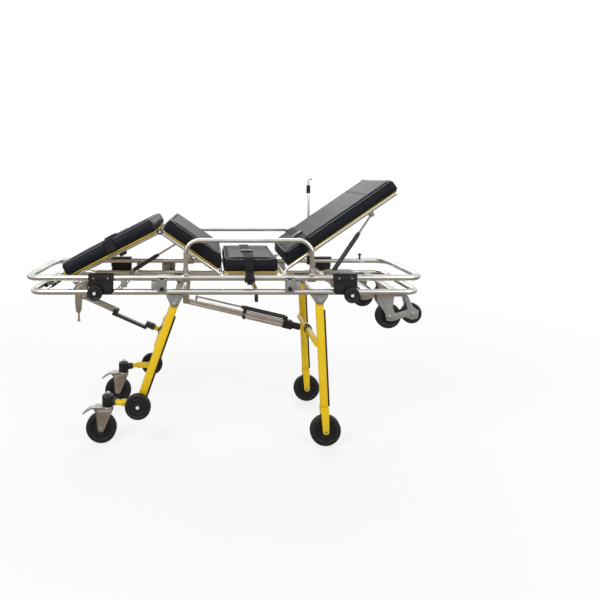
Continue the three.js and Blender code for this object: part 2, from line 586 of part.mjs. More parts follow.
// ---------------------------------------------------------------- stretcher frame
{
  const frame = ring(-RING_LENGTH / 2 + RAIL_R, RING_LENGTH / 2 - RAIL_R, RAIL_Y, RAIL_Z, RAIL_R, RING_CORNER, 12);
  const cross = (x, z, r) => rodY(x, z, -RAIL_Y + 4, RAIL_Y - 4, r, 12);
  const members = [
    cross(THIGH_HINGE_X, HINGE_Z, HINGE_R),
    cross(BACK_HINGE_X, HINGE_Z, HINGE_R),
    cross(THIGH_SPRING.base[0], RAIL_Z - 37, 10),
    cross(BACK_SPRING.base[0] - 12, RAIL_Z - 37, 10),
  ];
  members.push(
    ...[THIGH_SPRING.base[0], BACK_SPRING.base[0] - 12].flatMap((x) =>
      [-1, 1].map((s) => box(x - 14, x + 14, s * RAIL_Y - 9, s * RAIL_Y + 9, RAIL_Z - 46, RAIL_Z)),
    ),
  );
  // spring anchors: pairs of ears
  const ears = (x0, x1, z0, z1, y, halfGap) =>
    [-1, 1].map((s) => {
      const [y0, y1] = [y + s * halfGap, y + s * (halfGap + 4)].sort((a, b) => a - b);
      return box(x0, x1, y0, y1, z0, z1);
    });
  const [tx, tz] = THIGH_SPRING.base;
  const thighEars = [...ears(tx - 12, tx + 12, RAIL_Z - 40, tz + 9, THIGH_SPRING.y, GAS_R + 1.5), rodY(tx, tz, -16, 16, 4, 10)];
  const [bx, bz] = BACK_SPRING.base;
  const backEars = ears(bx - 30, bx + 108, RAIL_Z - 34, bz + 23, BACK_SPRING.y, GAS_R + 1.5);
  const slotFloor = box(bx - 30, bx + 6, BACK_SPRING.y - GAS_R - 5, BACK_SPRING.y + GAS_R + 5, RAIL_Z - 40, RAIL_Z - 30);
  // the seat board on two bearers
  const seat = [
    box(0, 282, -PAD_Y + 6, PAD_Y - 6, HINGE_Z + 10, HINGE_Z + 15.6),
    box(6, 20, -RAIL_Y + 8, RAIL_Y - 8, HINGE_Z - 8, HINGE_Z + 11),
    box(262, 276, -RAIL_Y + 8, RAIL_Y - 8, HINGE_Z - 8, HINGE_Z + 11),
  ];
  // latch plates hang outside the side rails; each has a bore for its plunger
  const plates = [-300, 319].flatMap((x) =>
    [-1, 1].map((s) => {
      const [y0, y1] = [s * (RING_WIDTH / 2 + 0.7), s * (RING_WIDTH / 2 + 4.7)].sort((a, b) => a - b);
      const [k0, k1] = [s * (RAIL_Y + 6), s * (RING_WIDTH / 2 + 4.7)].sort((a, b) => a - b);
      return cut(
        join(plateXZ([[x - 26, RAIL_Z + 4], [x + 26, RAIL_Z + 4], [x + 22, 750], [x - 22, 750]], y0, y1, 5, 2), box(x - 24, x + 24, k0, k1, RAIL_Z - 8, RAIL_Z + 3)),
        rodY(x, 769, s * 270, s * 300, 5 + RUN, 12),
      );
    }),
  );
  // the drip pole's clamp on the far rail, with two ears and their pin
  const [px, py, pz] = POLE;
  const clamp = [
    box(px - 12, px + 12, RAIL_Y - 24, RAIL_Y + 24, RAIL_Z - 22, RAIL_Z + 18),
    box(px - 12, px + 12, py - 12, py - 8, RAIL_Z + 10, pz + 8),
    box(px - 12, px + 12, py + 8, py + 12, RAIL_Z + 10, pz + 8),
    rodY(px, pz, py - 15, py + 15, 4, 10),
  ];
  add("upper_frame", join(frame, clamp, members, thighEars, backEars, slotFloor, seat, plates), "aluminium");

  for (const [where, x] of [["foot", -300], ["head", 319]])
    for (const [side, s] of [["near", -1], ["far", 1]]) {
      const knob = join(rodY(x, 769, s * (RING_WIDTH / 2 + 0.4), s * 287, 5, 12), rodY(x, 769, s * 285.5, s * 296, 10, 14));
      add(`latch_knob_${where}_${side}`, knob, "black");
    }
}

// ---------------------------------------------------------------- stretcher wheel brackets
for (const [where, [wx, wz], x0, x1, lobeX] of [["foot", FOOT_WHEEL, -656, -534, -560], ["head", HEAD_WHEEL, 530, 644, 556]])
  for (const [side, s] of [["near", -1], ["far", 1]]) {
    const y0 = RING_WIDTH / 2 + 0.5;
    const m = where === "foot" ? -1 : 1;
    const [outer, inner] = m < 0 ? [x0, x1] : [x1, x0];
    const face = (a, b) => [s * a, s * b].sort((p, q) => p - q);
    const body = [
      plateXZ([[outer, RAIL_TOP + 6], [outer, 785], [wx + m * 14, wz - 12], [wx - m * 12, wz - 12], [lobeX + m * 20, 742], [lobeX - m * 14, 742], [inner, 756], [inner, RAIL_TOP + 6]], ...face(y0, y0 + 7), 6, 2),
      box(x0, x1, ...face(RAIL_Y - 14, y0 + 7), RAIL_TOP + GAP, RAIL_TOP + 6),
      rodY(wx, wz, ...face(y0 + 2, y0 + 7 + SMALL_W + 5), AXLE_R, 8),
    ];
    add(`wheel_bracket_${where}_${side}`, join(body), "black");
    add(
      `stretcher_wheel_${where}_${side}`,
      wheel(wx, s * (y0 + 7 + SMALL_W / 2 + 2.5), wz, SMALL_R, SMALL_W, 11, AXLE_R + RUN, 14),
      "tyre",
    );
  }

// ---------------------------------------------------------------- side rails
for (const [side, s] of [["near", -1], ["far", 1]]) {
  const [x0, x1, top] = [-185, 426, 1002];
  const y = s * (RAIL_Y + 10);
  const hoop = tube(arced([V(x0, y, RAIL_Z + 12), V(x0, y, top), V(x1, y, top), V(x1, y, RAIL_Z + 12)], 62, 4), 11, 8);
  const collars = [x0, x1].map((x) => rod(V(x - 19, s * RAIL_Y, RAIL_Z), V(x + 19, s * RAIL_Y, RAIL_Z), RAIL_R + 6, 12));
  const sockets = [x0, x1].map((x) => rod(V(x, y, RAIL_Z + 14), V(x, y, RAIL_Z + 44), 14, 10));
  const bore = rod(V(x0 - 60, s * RAIL_Y, RAIL_Z), V(x1 + 60, s * RAIL_Y, RAIL_Z), RAIL_R + 0.9, 16);
  add(`side_rail_${side}`, cut(join(hoop, collars, sockets), bore), "aluminium");
}

// ---------------------------------------------------------------- drip pole
{
  const [x, y, z] = POLE;
  const outer = cut(
    join(rod(V(x, y, z - 8), V(x, y, 1217), 7, 10), rod(V(x, y, 1215), V(x, y, 1263), 11, 10)),
    rod(V(x, y, z + 60), V(x, y, 1270), 4 + RUN, 10),
    rodY(x, z, y - 20, y + 20, 4 + RUN, 10),
  );
  add("pole_tube", outer, "aluminium");
  const hook = tube(arced([V(x, y, z + 66), V(x, y, 1292), V(x + 10, y, 1306), V(x + 22, y, 1300)], [0, 14, 8, 0], 3), 4, 8);
  add("pole_hook", hook, "steel");
}

// ---------------------------------------------------------------- mattress platform
// A cushion: its outline in d and n, extruded across the cot.
const pad = (where, points, half = PAD_Y, r = 14) => plateXZ(points.map(([d, n]) => where(d, n)), -half, half, r, 3);
const eye = ([x, z], y, half, outer, inner) => cut(rodY(x, z, y - half, y + half, outer, 16), rodY(x, z, y - half - 2, y + half + 2, inner, 16));

add("seat_cushion", plateXZ([[-4, 846], [272, 846], [272, 912], [-4, 912]], -PAD_Y, PAD_Y, 14, 3), "vinyl");

{
  const y = 224;
  const board = (where, d0, d1, n0, n1, half) => plateXZ([where(d0, n0), where(d1, n0), where(d1, n1), where(d0, n1)], -half, half);
  // thigh
  const hinge = [THIGH_HINGE_X, HINGE_Z];
  const bore = rodY(...hinge, -PAD_Y, PAD_Y, HINGE_R + RUN, 12);
  const kneeBore = rodY(...KNEE, -PAD_Y, PAD_Y, 5 + RUN, 12);
  const [sd, sn] = [THIGH_SPRING.d, THIGH_SPRING.n];
  const thigh = cut(
    join(
      [-1, 1].flatMap((s) => [
        rodY(...hinge, s * y - 11, s * y + 11, HINGE_R + 5, 12),
        rod(at(thighAt(0, 0), s * y), at(thighAt(THIGH_LENGTH + 12, 0), s * y), FRAME_R, 8),
      ]),
      board(thighAt, 26, THIGH_LENGTH - 8, 11, PAD_RISE - GAP, y + 8),
      [-1, 1].map((s) => board(thighAt, 40, THIGH_LENGTH - 20, 0, 12, 3).translate([0, s * y, 0])),
      [-1, 1].map((s) => plateXZ([thighAt(sd - 18, 12), thighAt(sd + 18, 12), thighAt(sd + 9, sn - 9), thighAt(sd - 9, sn - 9)], ...[s * 12.5, s * 16.5].sort((a, b) => a - b))),
      rodY(...thighAt(sd - 60, 4), -y, y, 8, 10),
    ),
    bore, kneeBore,
  );
  add("thigh_frame", thigh, "aluminium");
  add("thigh_cushion", pad(thighAt, [[9, PAD_RISE], [THIGH_LENGTH + 3, PAD_RISE], [THIGH_LENGTH + 3, PAD_RISE + PAD_THICK], [52, PAD_RISE + PAD_THICK]]), "vinyl");

  // lower leg
  const yl = y - 2 * FRAME_R - 3;
  const leg = join(
    [-1, 1].flatMap((s) => [
      rod(at(legAt(-9, 0), s * yl), at(legAt(514, 0), s * yl), FRAME_R, 8),
      rodY(...KNEE, s * (y + FRAME_R + 0.8), s * (y + FRAME_R + 6), 14, 14),
    ]),
    rodY(...KNEE, -y - FRAME_R - 4, y + FRAME_R + 4, 5, 12),
    rodY(...legAt(506, 0), -yl, yl, 8, 12),
    board(legAt, 22, 518, 8, PAD_RISE - GAP, y + 8),
    board(legAt, 514.5, 518, 12, 62, y - 8),
  );
  add("leg_frame", leg, "aluminium");
  add("leg_cushion", pad(legAt, [[8, PAD_RISE], [512, PAD_RISE], [512, PAD_RISE + PAD_THICK], [8, PAD_RISE + PAD_THICK]]), "vinyl");

  // back
  const bh = [BACK_HINGE_X, HINGE_Z];
  const [bd, bn, by] = [BACK_SPRING.d, BACK_SPRING.n, BACK_SPRING.y];
  const back = cut(
    join(
      [-1, 1].flatMap((s) => [
        rodY(...bh, s * y - 11, s * y + 11, HINGE_R + 5, 12),
        rod(at(backAt(4, 4), s * y), at(backAt(36, BACK_FRAME_RISE), s * y), FRAME_R, 8),
        rod(at(backAt(30, BACK_FRAME_RISE), s * y), at(backAt(686, BACK_FRAME_RISE), s * y), FRAME_R, 8),
      ]),
      rodY(...backAt(680, BACK_FRAME_RISE), -y, y, FRAME_R, 8),
      board(backAt, 40, 690, 21, BACK_PAD_RISE - GAP, y + 8),
      [-1, 1].map((s) => plateXZ([backAt(bd - 20, 24), backAt(bd + 20, 24), backAt(bd + 9, bn - 9), backAt(bd - 9, bn - 9)], by + Math.min(s * 12.5, s * 16.5), by + Math.max(s * 12.5, s * 16.5))),
      rodY(...backAt(bd, bn), by - 14, by + 14, 4, 10),
    ),
    rodY(...bh, -PAD_Y, PAD_Y, HINGE_R + RUN, 12),
  );
  add("back_frame", back, "aluminium");
  const top = BACK_PAD_RISE + BACK_PAD_THICK;
  add("back_cushion", pad(backAt, [[24, BACK_PAD_RISE], [706, BACK_PAD_RISE], [706, top], [58, top], [58, 60]], PAD_Y, [6, 14, 14, 14, 20]), "vinyl");
}

// ---------------------------------------------------------------- gas springs of the platform
{
  const spring = (base, top, y, cylinderLength, name, cylinderEye, rodEye) => {
    const length = Math.hypot(top[0] - base[0], top[1] - base[1]);
    const cylinder = cut(
      join(rod(V(8, 0, 0), V(cylinderLength, 0, 0), GAS_R, 14), rodY(0, 0, -9, 9, 9, 12), rod(V(0, 0, 0), V(12, 0, 0), 6, 10)),
      rod(V(20, 0, 0), V(cylinderLength + 5, 0, 0), GAS_ROD_R + RUN, 10),
      cylinderEye ? rodY(0, 0, -20, 20, 4 + RUN, 10) : rodY(0, 40, -1, 1, 1, 8),
    );
    const insert = cylinderLength - 22;
    const piston = cut(
      join(rod(V(insert, 0, 0), V(length - 4, 0, 0), GAS_ROD_R, 10), rodY(length, 0, -9, 9, 9, 12)),
      rodEye ? rodY(length, 0, -20, 20, 4 + RUN, 10) : rodY(length, 40, -1, 1, 1, 8),
    );
    add(`${name}_cylinder`, laid(cylinder, base, top, y), "black");
    add(`${name}_rod`, laid(piston, base, top, y), "steel");
  };
  spring(THIGH_SPRING.base, thighAt(THIGH_SPRING.d, THIGH_SPRING.n), THIGH_SPRING.y, THIGH_SPRING.cylinder, "thigh_spring", true, false);
  spring(BACK_SPRING.base, backAt(BACK_SPRING.d, BACK_SPRING.n), BACK_SPRING.y, BACK_SPRING.cylinder, "back_spring", false, true);
}

// ---------------------------------------------------------------- belts
// A belt over a cushion: a band in the plane across the cot, drawn in y and n, that lies d along the section.
function belt(where, d, half, n0, n1, wide, thick, drop) {
  const o = half + 0.4;
  const shape = [
    [-o - thick, n1 + 0.4 + thick], [o + thick, n1 + 0.4 + thick], [o + thick, n0 + drop], [o, n0 + drop], [o, n1 + 0.4], [-o, n1 + 0.4], [-o, n0 + drop], [-o - thick, n0 + drop],
  ];
  const g = slab(outline(shape, 0), wide);
  const [p, q, r] = [where(d, 0), where(d + wide, 0), where(d, 1)];
  const dir = V(q[0] - p[0], 0, q[1] - p[1]).normalize();
  const up = V(r[0] - p[0], 0, r[1] - p[1]).normalize();
  g.applyMatrix4(new THREE.Matrix4().makeBasis(V(0, 1, 0), up, dir)).translate(p[0], 0, p[1]);
  return solid(g);
}
add("leg_belt", belt(legAt, 224, PAD_Y, PAD_RISE, PAD_RISE + PAD_THICK, 50, 3, 8), "webbing");
add("seat_belt", belt((d, n) => [d, HINGE_Z + n], 100, PAD_Y, 16, 82, 50, 3, 8), "webbing");
add("chest_belt", belt(backAt, 150, PAD_Y, BACK_PAD_RISE, BACK_PAD_RISE + BACK_PAD_THICK, 50, 3, 8), "webbing");

export default cot;
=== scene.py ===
# %% [markdown]
# # An ambulance cot, piece by piece
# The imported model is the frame: every piece below takes its place from it and rides on one of its bodies.
# Sizes are written in millimetres, as on a workshop drawing, and turned to metres in one place.
# %% Load the frame
import json
import math
import bmesh
import bpy
import numpy as np
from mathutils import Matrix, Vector


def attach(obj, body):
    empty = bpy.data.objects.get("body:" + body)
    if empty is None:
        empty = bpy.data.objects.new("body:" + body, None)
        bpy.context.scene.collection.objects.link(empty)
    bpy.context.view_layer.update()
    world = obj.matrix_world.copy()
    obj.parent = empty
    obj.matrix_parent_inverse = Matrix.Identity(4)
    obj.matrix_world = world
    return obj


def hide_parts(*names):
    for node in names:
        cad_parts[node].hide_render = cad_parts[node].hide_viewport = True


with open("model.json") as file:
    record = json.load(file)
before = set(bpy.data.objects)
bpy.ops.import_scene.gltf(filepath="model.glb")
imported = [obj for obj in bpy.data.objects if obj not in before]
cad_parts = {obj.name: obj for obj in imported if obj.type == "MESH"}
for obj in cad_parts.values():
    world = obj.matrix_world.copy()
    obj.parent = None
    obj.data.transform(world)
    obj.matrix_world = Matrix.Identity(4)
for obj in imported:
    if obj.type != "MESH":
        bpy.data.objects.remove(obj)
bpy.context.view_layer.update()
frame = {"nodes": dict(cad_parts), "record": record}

MM = 0.001
SLOTS = {m["slot"] for m in frame["record"]["materials"]}

# %% [markdown]
# ## Camera, floor and light
# A level camera with a shifted lens keeps upright things upright, as a product picture does.
# The lamps are large and soft. The white surround is a colour that the camera, mirrors and glass see, so it costs the object no light.
# %% Camera
scene = bpy.context.scene
lens = bpy.data.cameras.new("camera")
camera = bpy.data.objects.new("camera", lens)
scene.collection.objects.link(camera)
camera.location = (-0.053, -2.780, 1.304)
camera.rotation_euler = (math.pi / 2, 0, 0)
lens.lens, lens.sensor_width = 31.02, 36
lens.shift_x, lens.shift_y = 0.145, -0.203
scene.camera = camera
scene.view_settings.view_transform = "Standard"
print("camera", tuple(camera.location), "lens", lens.lens)


# %% [markdown]
# ## Shader maths in Python
# A finish is a small tree of nodes. The class below wraps one output socket, so that `1 - mask * 0.4` writes its own Math nodes,
# and one method makes every other node from its type, its settings and its inputs.
# %% Wires and finishes
class Wire:
    """One output socket of a finish. Python's operators on it add Math nodes."""

    def __init__(self, finish, socket):
        self.finish, self.socket = finish, socket

    def maths(self, operation, a, b):
        return self.finish.node("Math", {"operation": operation}, a, b)

    def __add__(self, other):
        return self.maths("ADD", self, other)

    def __sub__(self, other):
        return self.maths("SUBTRACT", self, other)

    def __rsub__(self, other):
        return self.maths("SUBTRACT", other, self)

    def __mul__(self, other):
        return self.maths("MULTIPLY", self, other)

    def __pow__(self, other):
        return self.maths("POWER", self, other)

    __radd__, __rmul__ = __add__, __mul__


class Finish:
    """A material whose tree ends in one Principled shader."""

    def __init__(self, name, **uniform):
        self.material = bpy.data.materials.new(name)
        self.material.use_nodes = True
        self.tree = self.material.node_tree
        self.tree.nodes.clear()
        self.shader = self.tree.nodes.new("ShaderNodeBsdfPrincipled")
        end = self.tree.nodes.new("ShaderNodeOutputMaterial")
        self.tree.links.new(self.shader.outputs[0], end.inputs["Surface"])
        for socket, value in uniform.items():
            self.shader.inputs[socket.replace("_", " ")].default_value = value
        self.place = self.node("TexCoord", out="Object")

    def node(self, kind, settings=None, *values, out=0, at=None, **sockets):
        """Adds one node: its settings first, then its inputs by order, by name, or by number through at."""
        n = self.tree.nodes.new("ShaderNode" + kind)
        for key, value in (settings or {}).items():
            if key == "stops":
                for element, (where, grey) in zip(n.color_ramp.elements, value):
                    element.position, element.color = where, (grey, grey, grey, 1)
            else:
                setattr(n, key, value)
        wanted = list(enumerate(values)) + list((at or {}).items())
        wanted += [(key.replace("_", " "), value) for key, value in sockets.items()]
        for key, value in wanted:
            if isinstance(value, Wire):
                self.tree.links.new(value.socket, n.inputs[key])
            else:
                n.inputs[key].default_value = value
        return Wire(self, n.outputs[out])

    def noise(self, scale, detail=3.0, stretch=(1, 1, 1)):
        """Noise from 0 to 1 in object space; scale counts its blobs in a metre."""
        where = self.node("Mapping", None, self.place, Scale=stretch)
        return self.node("TexNoise", None, Vector=where, Scale=scale, Detail=detail)

    def between(self, factor, a, b):
        """The colour a where factor is 0 and b where it is 1."""
        return self.node("Mix", {"data_type": "RGBA"}, out=2, at={0: factor, 6: a, 7: b})

    def step(self, value, low, high):
        """0 below low, 1 above high."""
        return self.node("ValToRGB", {"stops": [(low, 0.0), (high, 1.0)]}, value)

    def feed(self, colour=None, roughness=None, height=None, strength=0.3, distance=0.0003, metallic=None):
        """Links what varies to the shader; height goes through one Bump node."""
        for name, wire in (("Base Color", colour), ("Roughness", roughness), ("Metallic", metallic)):
            if wire is not None:
                self.tree.links.new(wire.socket, self.shader.inputs[name])
        if height is not None:
            bump = self.node("Bump", None, Strength=strength, Distance=distance, Height=height)
            self.tree.links.new(bump.socket, self.shader.inputs["Normal"])
        return self.material


def shade(colour, factor):
    return tuple(min(1.0, c * factor) for c in colour) + (1.0,)


# %% [markdown]
# ## Metals
# Bright tube is drawn and polished, so its fine lines run along it and handling leaves dull patches.
# Plated steel is greyer with a fine grain, and a die casting has the skin of its mould: matt, faintly mottled and pitted.
# One function serves all of them, because only the numbers differ.
# %% Metal finishes
def metal(name, colour, rough, spread, grain, depth, patch=9.0, metallic=1.0, stretch=(1, 1, 1), coat=0.0):
    """Base colour and roughness drift with broad patches; the bump is a fine grain."""
    f = Finish(name, Metallic=metallic, Coat_Weight=coat)
    broad = f.noise(patch, 4.0)
    fine = f.noise(grain, 2.0, stretch)
    colour_wire = f.between(f.step(broad, 0.35, 0.70), shade(colour, 0.86), shade(colour, 1.05))
    roughness = broad * spread + fine * (spread * 0.5) + (rough - 0.75 * spread)
    return f.feed(colour_wire, roughness, fine, depth, 0.0002)


FINISH = {
    "polished_aluminium": metal("polished_aluminium", (0.72, 0.715, 0.70), 0.20, 0.16, 700.0, 0.12, stretch=(0.15, 1,
        1)),
    "plated_steel": metal("plated_steel", (0.52, 0.50, 0.47), 0.34, 0.20, 900.0, 0.25, 22.0),
    "grey_casting": metal("grey_casting", (0.33, 0.33, 0.325), 0.52, 0.20, 520.0, 0.6, 30.0, metallic=0.75),
    "black_steel": metal("black_steel", (0.017, 0.017, 0.018), 0.36, 0.18, 600.0, 0.2, 24.0, metallic=0.0, coat=0.2),
}
print("metals", sorted(FINISH))


# %% [markdown]
# ## Yellow powder coat
# The legs are powder coated: a deep gloss with a slight orange peel, and small chips near the floor where kerbs meet it.
# The chips are a mask that grows towards the floor, so they follow how the cot is used.
# %% Yellow paint
def yellow_paint():
    f = Finish("yellow_paint", Coat_Weight=0.22, Coat_Roughness=0.12, Specular_IOR_Level=0.35)
    broad, peel, chips = f.noise(7.0, 3.0), f.noise(260.0, 1.0), f.noise(120.0, 4.0)
    height = f.node("SeparateXYZ", None, f.place, out="Z")
    low = f.node("MapRange", None, height, 0.05, 0.55, 1.0, 0.0)
    chipped = f.step(chips + low * 0.06, 0.735, 0.75)
    paint = f.between(broad, (0.66, 0.425, 0.003, 1), (0.80, 0.55, 0.006, 1))
    colour = f.between(chipped, paint, (0.16, 0.15, 0.13, 1))
    return f.feed(colour, broad * 0.12 + chipped * 0.35 + 0.20, peel - chipped * 0.8, 0.12, 0.0004)


def board_paint():
    """The boards under the pads: yellow-brown painted sheet with scuffs that run across it."""
    f = Finish("board_paint")
    streak = f.noise(40.0, 5.0, (1, 0.15, 1))
    return f.feed(f.between(streak, (0.30, 0.20, 0.02, 1), (0.55, 0.40, 0.03, 1)), streak * 0.2 + 0.35, streak, 0.2,
        0.0003)


FINISH["yellow_paint"], FINISH["board_paint"] = yellow_paint(), board_paint()


# %% [markdown]
# ## Plastic, rubber, vinyl and webbing
# Moulded plastic has a fine spark-eroded skin. Tyre rubber is duller, with dust in its grain.
# The cover of the pads is coated vinyl: small closed cells pressed into it, which Voronoi cells give at the right scale.
# Webbing is woven, so its pattern follows the piece's own UV map, in millimetres along and across the band.
# %% Plastics, rubber, vinyl and webbing
def moulded(name, colour, rough, grain, depth):
    f = Finish(name, Specular_IOR_Level=0.32)
    broad, fine = f.noise(16.0, 3.0), f.noise(grain, 2.0)
    return f.feed(f.between(broad, shade(colour, 0.75), shade(colour, 1.35)), broad * 0.16 + (rough - 0.08), fine,
        depth, 0.0003)


def vinyl():
    f = Finish("black_vinyl", Specular_IOR_Level=0.12)
    crease, broad = f.noise(28.0, 5.0), f.noise(5.0, 2.0)
    cells = f.node("TexVoronoi", {"feature": "F1"}, Vector=f.place, Scale=520.0, out="Distance")
    colour = f.between(broad, (0.006, 0.0068, 0.009, 1), (0.011, 0.0125, 0.0165, 1))
    return f.feed(colour, crease * 0.14 + 0.44, cells * 0.12 + crease, 0.10, 0.0007)


def webbing():
    f = Finish("black_webbing", Specular_IOR_Level=0.2)
    uv = f.node("UVMap")
    across, along_ = f.node("SeparateXYZ", None, uv, out="X"), f.node("SeparateXYZ", None, uv, out="Y")
    ribs = f.node("Math", {"operation": "SINE"}, across * (2 * math.pi / 3.2))
    picks = f.node("Math", {"operation": "SINE"}, along_ * (2 * math.pi / 2.0))
    weave = ribs * 0.3 + picks * ribs * 0.5 + 0.5
    colour = f.between(weave, (0.005, 0.005, 0.006, 1), (0.020, 0.020, 0.024, 1))
    return f.feed(colour, weave * -0.1 + 0.78, weave, 0.7, 0.0006)


FINISH["black_plastic"] = moulded("black_plastic", (0.009, 0.009, 0.0095), 0.40, 800.0, 0.30)
FINISH["black_tyre"] = moulded("black_tyre", (0.010, 0.010, 0.0105), 0.60, 420.0, 0.45)
FINISH["white_plastic"] = moulded("white_plastic", (0.62, 0.62, 0.60), 0.36, 600.0, 0.15)
FINISH["edge_piping"] = moulded("edge_piping", (0.085, 0.088, 0.098), 0.34, 500.0, 0.3)
FINISH["black_vinyl"], FINISH["black_webbing"] = vinyl(), webbing()
print("finishes", len(FINISH))


# %% [markdown]
# ## Floor, surround and lamps
# The floor is a pale sheet that keeps the shadows, and to mirrors it glows a warm dim brown, a painted reflection. The
# world is white to the camera and to mirrors, and dimmer as a lamp.
# %% Stage
def surround():
    world = bpy.data.worlds.new("surround")
    scene.world = world
    world.use_nodes = True
    tree = world.node_tree
    tree.nodes.clear()
    rays = tree.nodes.new("ShaderNodeLightPath")
    seen = tree.nodes.new("ShaderNodeMath")
    seen.operation = "MAXIMUM"
    tree.links.new(rays.outputs["Is Camera Ray"], seen.inputs[0])
    tree.links.new(rays.outputs["Is Glossy Ray"], seen.inputs[1])
    seen2 = tree.nodes.new("ShaderNodeMath")
    seen2.operation = "MAXIMUM"
    tree.links.new(seen.outputs[0], seen2.inputs[0])
    tree.links.new(rays.outputs["Is Transmission Ray"], seen2.inputs[1])
    lamp, white = (tree.nodes.new("ShaderNodeBackground") for _ in range(2))
    lamp.inputs["Strength"].default_value, white.inputs["Strength"].default_value = 0.55, 1.0
    lamp.inputs["Color"].default_value = white.inputs["Color"].default_value = (1, 1, 1, 1)
    mix, end = tree.nodes.new("ShaderNodeMixShader"), tree.nodes.new("ShaderNodeOutputWorld")
    tree.links.new(seen2.outputs[0], mix.inputs[0])
    tree.links.new(lamp.outputs[0], mix.inputs[1])
    tree.links.new(white.outputs[0], mix.inputs[2])
    tree.links.new(mix.outputs[0], end.inputs[0])


def floor():
    """A wide sheet. The camera sees plain white mixed with a lit floor, which carries the shadow
    and fades out with distance. Mirrors are shown a warm dim ground instead, a painted reflection
    that darkens the undersides of bright tube. That is a fault found too late to mend: they should
    see what the camera sees, with the share of white fed by camera, glossy and transmission rays alike."""
    material = bpy.data.materials.new("floor")
    material.use_nodes = True
    tree = material.node_tree
    tree.nodes.clear()
    rays, mix, end = (tree.nodes.new("ShaderNode" + k) for k in ("LightPath", "MixShader", "OutputMaterial"))
    lit, white = tree.nodes.new("ShaderNodeBsdfDiffuse"), tree.nodes.new("ShaderNodeEmission")
    lit.inputs["Color"].default_value, white.inputs["Strength"].default_value = (0.80, 0.80, 0.80, 1), 1.0
    share = tree.nodes.new("ShaderNodeMath")
    share.operation = "MULTIPLY"
    where, reach, fade = (tree.nodes.new("ShaderNode" + k) for k in ("TexCoord", "VectorMath", "MapRange"))
    reach.operation = "LENGTH"
    tree.links.new(where.outputs["Object"], reach.inputs[0])
    tree.links.new(reach.outputs["Value"], fade.inputs["Value"])
    for key, value in (("From Min", 1.0), ("From Max", 3.6), ("To Min", 0.74), ("To Max", 1.0)):
        fade.inputs[key].default_value = value
    tree.links.new(fade.outputs["Result"], share.inputs[1])
    tree.links.new(rays.outputs["Is Camera Ray"], share.inputs[0])
    tree.links.new(share.outputs[0], mix.inputs[0])
    tree.links.new(lit.outputs[0], mix.inputs[1])
    tree.links.new(white.outputs[0], mix.inputs[2])
    # painted reflection: glossy rays see the floor as a warm dim glow, which darkens the undersides of bright tube
    warm, both = tree.nodes.new("ShaderNodeEmission"), tree.nodes.new("ShaderNodeMixShader")
    warm.inputs["Color"].default_value, warm.inputs["Strength"].default_value = (0.36, 0.30, 0.235, 1), 1.0
    tree.links.new(rays.outputs["Is Glossy Ray"], both.inputs[0])
    tree.links.new(mix.outputs[0], both.inputs[1])
    tree.links.new(warm.outputs[0], both.inputs[2])
    tree.links.new(both.outputs[0], end.inputs[0])
    mesh = bpy.data.meshes.new("floor")
    mesh.from_pydata([(-40, -40, -0.001), (40, -40, -0.001), (40, 40, -0.001), (-40, 40, -0.001)], [], [(0, 1, 2, 3)])
    mesh.materials.append(material)
    sheet = bpy.data.objects.new("floor", mesh)
    scene.collection.objects.link(sheet)


def lamp(name, place, target, size, power):
    data = bpy.data.lights.new(name, "AREA")
    data.shape, data.size, data.energy = "DISK", size, power
    ob = bpy.data.objects.new(name, data)
    scene.collection.objects.link(ob)
    ob.location = place
    ob.rotation_euler = (Vector(target) - Vector(place)).to_track_quat("-Z", "Y").to_euler()


surround()
floor()
lamp("key", (-2.2, -2.6, 3.4), (0, 0, 0.7), 2.2, 95)
lamp("fill", (2.8, -2.4, 2.0), (0, 0, 0.6), 2.0, 38)
lamp("back", (0.4, 2.6, 3.0), (0, 0, 0.8), 2.4, 55)


# %% [markdown]
# ## Shapes from profiles
# Almost every hard piece is a row of rings: a section repeated along a line, with the last few rings drawn in to round the edge.
# One lofting function turns rings into faces, and the tube, bar, plate and turned part are each a formula for those rings.
# %% Rings to faces
X, Y, Z = np.eye(3)


def unit(v):
    v = np.asarray(v, float)
    return v / np.maximum(np.linalg.norm(v, axis=-1, keepdims=True), 1e-12)


def loft(rings, looped=False, capped=True):
    """rings is (n, m, 3). Face (i, j) joins rings i and i+1 between points j and j+1; UV is the length across and along, in mm."""
    rings = np.asarray(rings, float)
    n, m = rings.shape[:2]
    i, j = np.meshgrid(np.arange(n if looped else n - 1), np.arange(m), indexing="ij")
    i2, j2 = (i + 1) % n, (j + 1) % m
    quads = np.stack([i * m + j, i2 * m + j, i2 * m + j2, i * m + j2], -1).reshape(-1, 4)
    mid = rings[n // 2]
    u = np.concatenate([[0], np.cumsum(np.linalg.norm(np.roll(mid, -1, 0) - mid, axis=1))])
    centre = rings.mean(1)
    v = np.concatenate([[0], np.cumsum(np.linalg.norm(np.roll(centre, -1, 0) - centre, axis=1))])
    uv = np.stack([np.stack([u[j], v[i]], -1), np.stack([u[j], v[i + 1]], -1), np.stack([u[j + 1], v[i + 1]], -1),
        np.stack([u[j + 1], v[i]], -1)], 2)
    ends = [] if looped or not capped else [list(range(m)), list(range((n - 1) * m, n * m))]
    return rings.reshape(-1, 3), quads, ends, uv.reshape(-1, 2)


